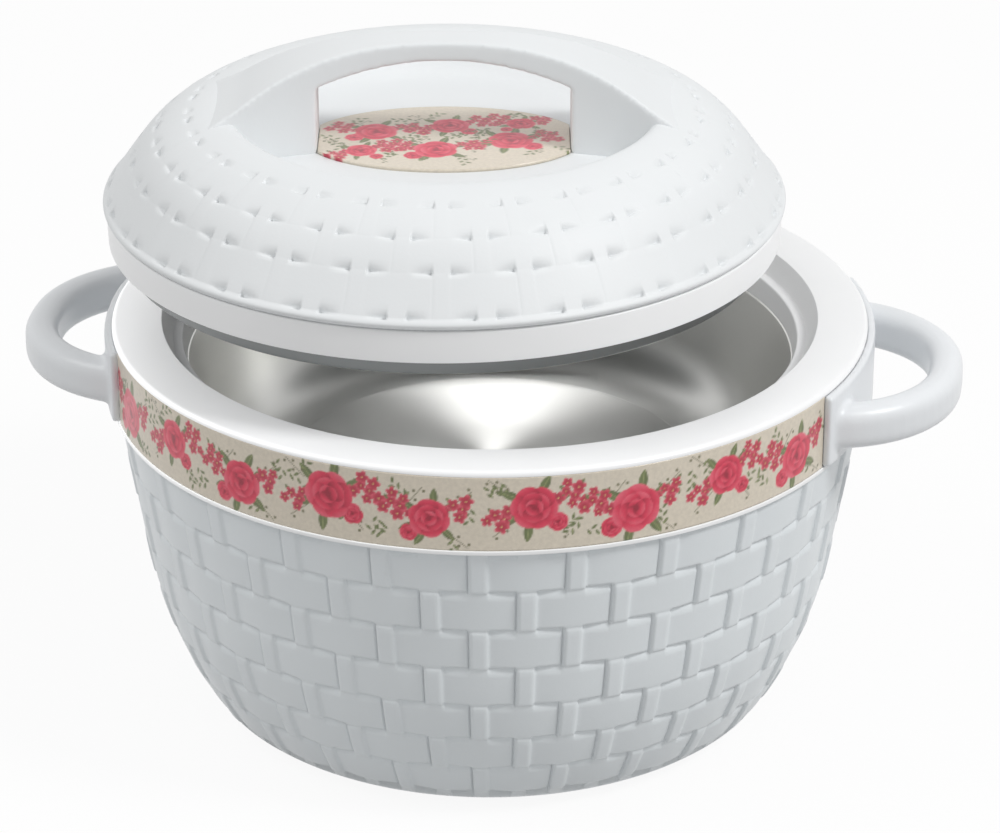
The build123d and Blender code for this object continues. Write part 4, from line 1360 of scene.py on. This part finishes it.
class POT_OT_stage(bpy.types.Operator):
    """Pale floor, soft studio light and the camera"""

    bl_idname = "pot.stage"
    bl_label = "Stage"

    def backdrop_white(self, tree):
        """1 for the camera and for mirrors, which see white, and 0 for the light that falls on the object."""
        path = tree.nodes.new("ShaderNodeLightPath").outputs
        seen = path["Is Camera Ray"]
        for ray in ("Is Glossy Ray", "Is Transmission Ray"):
            sockets = {0: seen, 1: path[ray]}
            seen = add_node(tree, "ShaderNodeMath", sockets, operation="MAXIMUM").outputs["Value"]
        return seen

    def lay_floor(self, size):
        """Floor that is nearly white for the camera and still keeps the shadow."""
        clear_selection()
        bpy.ops.mesh.primitive_plane_add(size=size, location=(0, 0, 0))
        floor = bpy.context.object
        floor.name = "floor"
        material, tree, shader = new_material("floor_white")
        tree.nodes.remove(shader)
        sockets = {0: self.backdrop_white(tree), 1: FLOOR_WHITE}
        mix = add_node(tree, "ShaderNodeMixShader", {
            "Fac": add_node(tree, "ShaderNodeMath", sockets, operation="MULTIPLY").outputs["Value"],
            1: add_node(tree, "ShaderNodeBsdfDiffuse", {"Color": FLOOR_GREY}).outputs["BSDF"],
            2: add_node(tree, "ShaderNodeEmission", {"Strength": FLOOR_GLOW}).outputs["Emission"],
        })
        feed(tree, tree.nodes["Material Output"], {"Surface": mix.outputs["Shader"]})
        floor.data.materials.append(material)

    def light_sky(self, scene):
        """Even light from all round, in front of a white backdrop."""
        scene.world = bpy.data.worlds.new("studio")
        scene.world.use_nodes = True
        tree = scene.world.node_tree
        sockets = {"Value": self.backdrop_white(tree), "To Min": SKY_LIGHT, "To Max": 1.0}
        level = add_node(tree, "ShaderNodeMapRange", sockets).outputs["Result"]
        feed(tree, tree.nodes["Background"], {"Color": (1, 1, 1, 1), "Strength": level})

    def hang_lamp(self, lamp):
        """Put up a lamp; one with a piece lights it past everything that hangs over it."""
        clear_selection()
        bpy.ops.object.light_add(type="AREA", location=lamp.place)
        light = bpy.context.object
        light.name = lamp.name
        light.data.size = lamp.size
        light.data.energy = lamp.power
        light.rotation_euler = (Vector(lamp.aim) - Vector(lamp.place)).to_track_quat("-Z", "Y").to_euler()
        if lamp.piece:
            lit = bpy.data.collections.new(lamp.name + "_piece")
            lit.objects.link(bpy.data.objects[lamp.piece])
            light.light_linking.receiver_collection = lit
            light.light_linking.blocker_collection = lit

    def place_camera(self, stage, height):
        """Camera that sees the middle of the rim where the image has it."""
        aside = sin(stage.azimuth)
        front = cos(stage.azimuth)
        level = cos(stage.elevation)
        out = Vector((aside * level, -front * level, sin(stage.elevation)))
        bpy.ops.object.camera_add(location=Vector((0, 0, height)) + out * stage.distance)
        camera = bpy.context.object
        camera.name = "camera"
        right = Vector((front, aside, 0))
        above = out.cross(right)
        off_x = stage.image_width / 2 - stage.rim_pixel[0]
        off_y = stage.image_height / 2 - stage.rim_pixel[1]
        look = -out * stage.focus + right * off_x - above * off_y
        camera.rotation_euler = look.to_track_quat("-Z", "Y").to_euler()
        camera.data.sensor_width = SENSOR_WIDTH
        camera.data.lens = stage.focus / stage.image_width * SENSOR_WIDTH
        return camera

    def execute(self, context):
        scene = context.scene
        self.lay_floor(scene.stage_sizes.floor_size)
        self.light_sky(scene)
        for lamp in LAMPS:
            self.hang_lamp(lamp)
        scene.camera = self.place_camera(scene.stage_sizes, scene.pot_sizes.band_top)
        scene.view_settings.view_transform = "Standard"
        return {"FINISHED"}


class POT_PT_pieces(bpy.types.Panel):
    """Lists the pieces of the serving pot"""

    bl_idname = "POT_PT_pieces"
    bl_label = "Serving pot"
    bl_space_type = "VIEW_3D"
    bl_region_type = "UI"
    bl_category = "Serving pot"

    def draw(self, context):
        for operator in PIECE_OPERATORS:
            self.layout.operator(operator.bl_idname)


SIZE_GROUPS = {
    "pot_sizes": PotSizes,
    "lid_sizes": LidSizes,
    "weave_sizes": WeaveSizes,
    "finishes": Finishes,
    "stage_sizes": StageSizes,
}
PIECE_OPERATORS = (
    POT_OT_woven_body,
    POT_OT_collar,
    POT_OT_print_bands,
    POT_OT_handles,
    POT_OT_steel_bowl,
    POT_OT_lid_cover,
    POT_OT_lid_disc,
    POT_OT_lid_ring,
    POT_OT_lid_liner,
    POT_OT_stage,
)


def register():
    """Register the groups, the operators and the panel."""
    for name, group in SIZE_GROUPS.items():
        bpy.utils.register_class(group)
        setattr(bpy.types.Scene, name, PointerProperty(type=group))
    for operator in PIECE_OPERATORS:
        bpy.utils.register_class(operator)
    bpy.utils.register_class(POT_PT_pieces)


def unregister():
    """Take back what register added."""
    bpy.utils.unregister_class(POT_PT_pieces)
    for operator in reversed(PIECE_OPERATORS):
        bpy.utils.unregister_class(operator)
    for name, group in SIZE_GROUPS.items():
        delattr(bpy.types.Scene, name)
        bpy.utils.unregister_class(group)


def main():
    """Make every piece."""
    register()
    bpy.ops.pot.woven_body()
    bpy.ops.pot.collar()
    bpy.ops.pot.print_bands()
    bpy.ops.pot.handles()
    bpy.ops.pot.steel_bowl()
    bpy.ops.pot.lid_cover()
    bpy.ops.pot.lid_disc()
    bpy.ops.pot.lid_ring()
    bpy.ops.pot.lid_liner()
    bpy.ops.pot.stage()


if __name__ == "__main__":
    main()
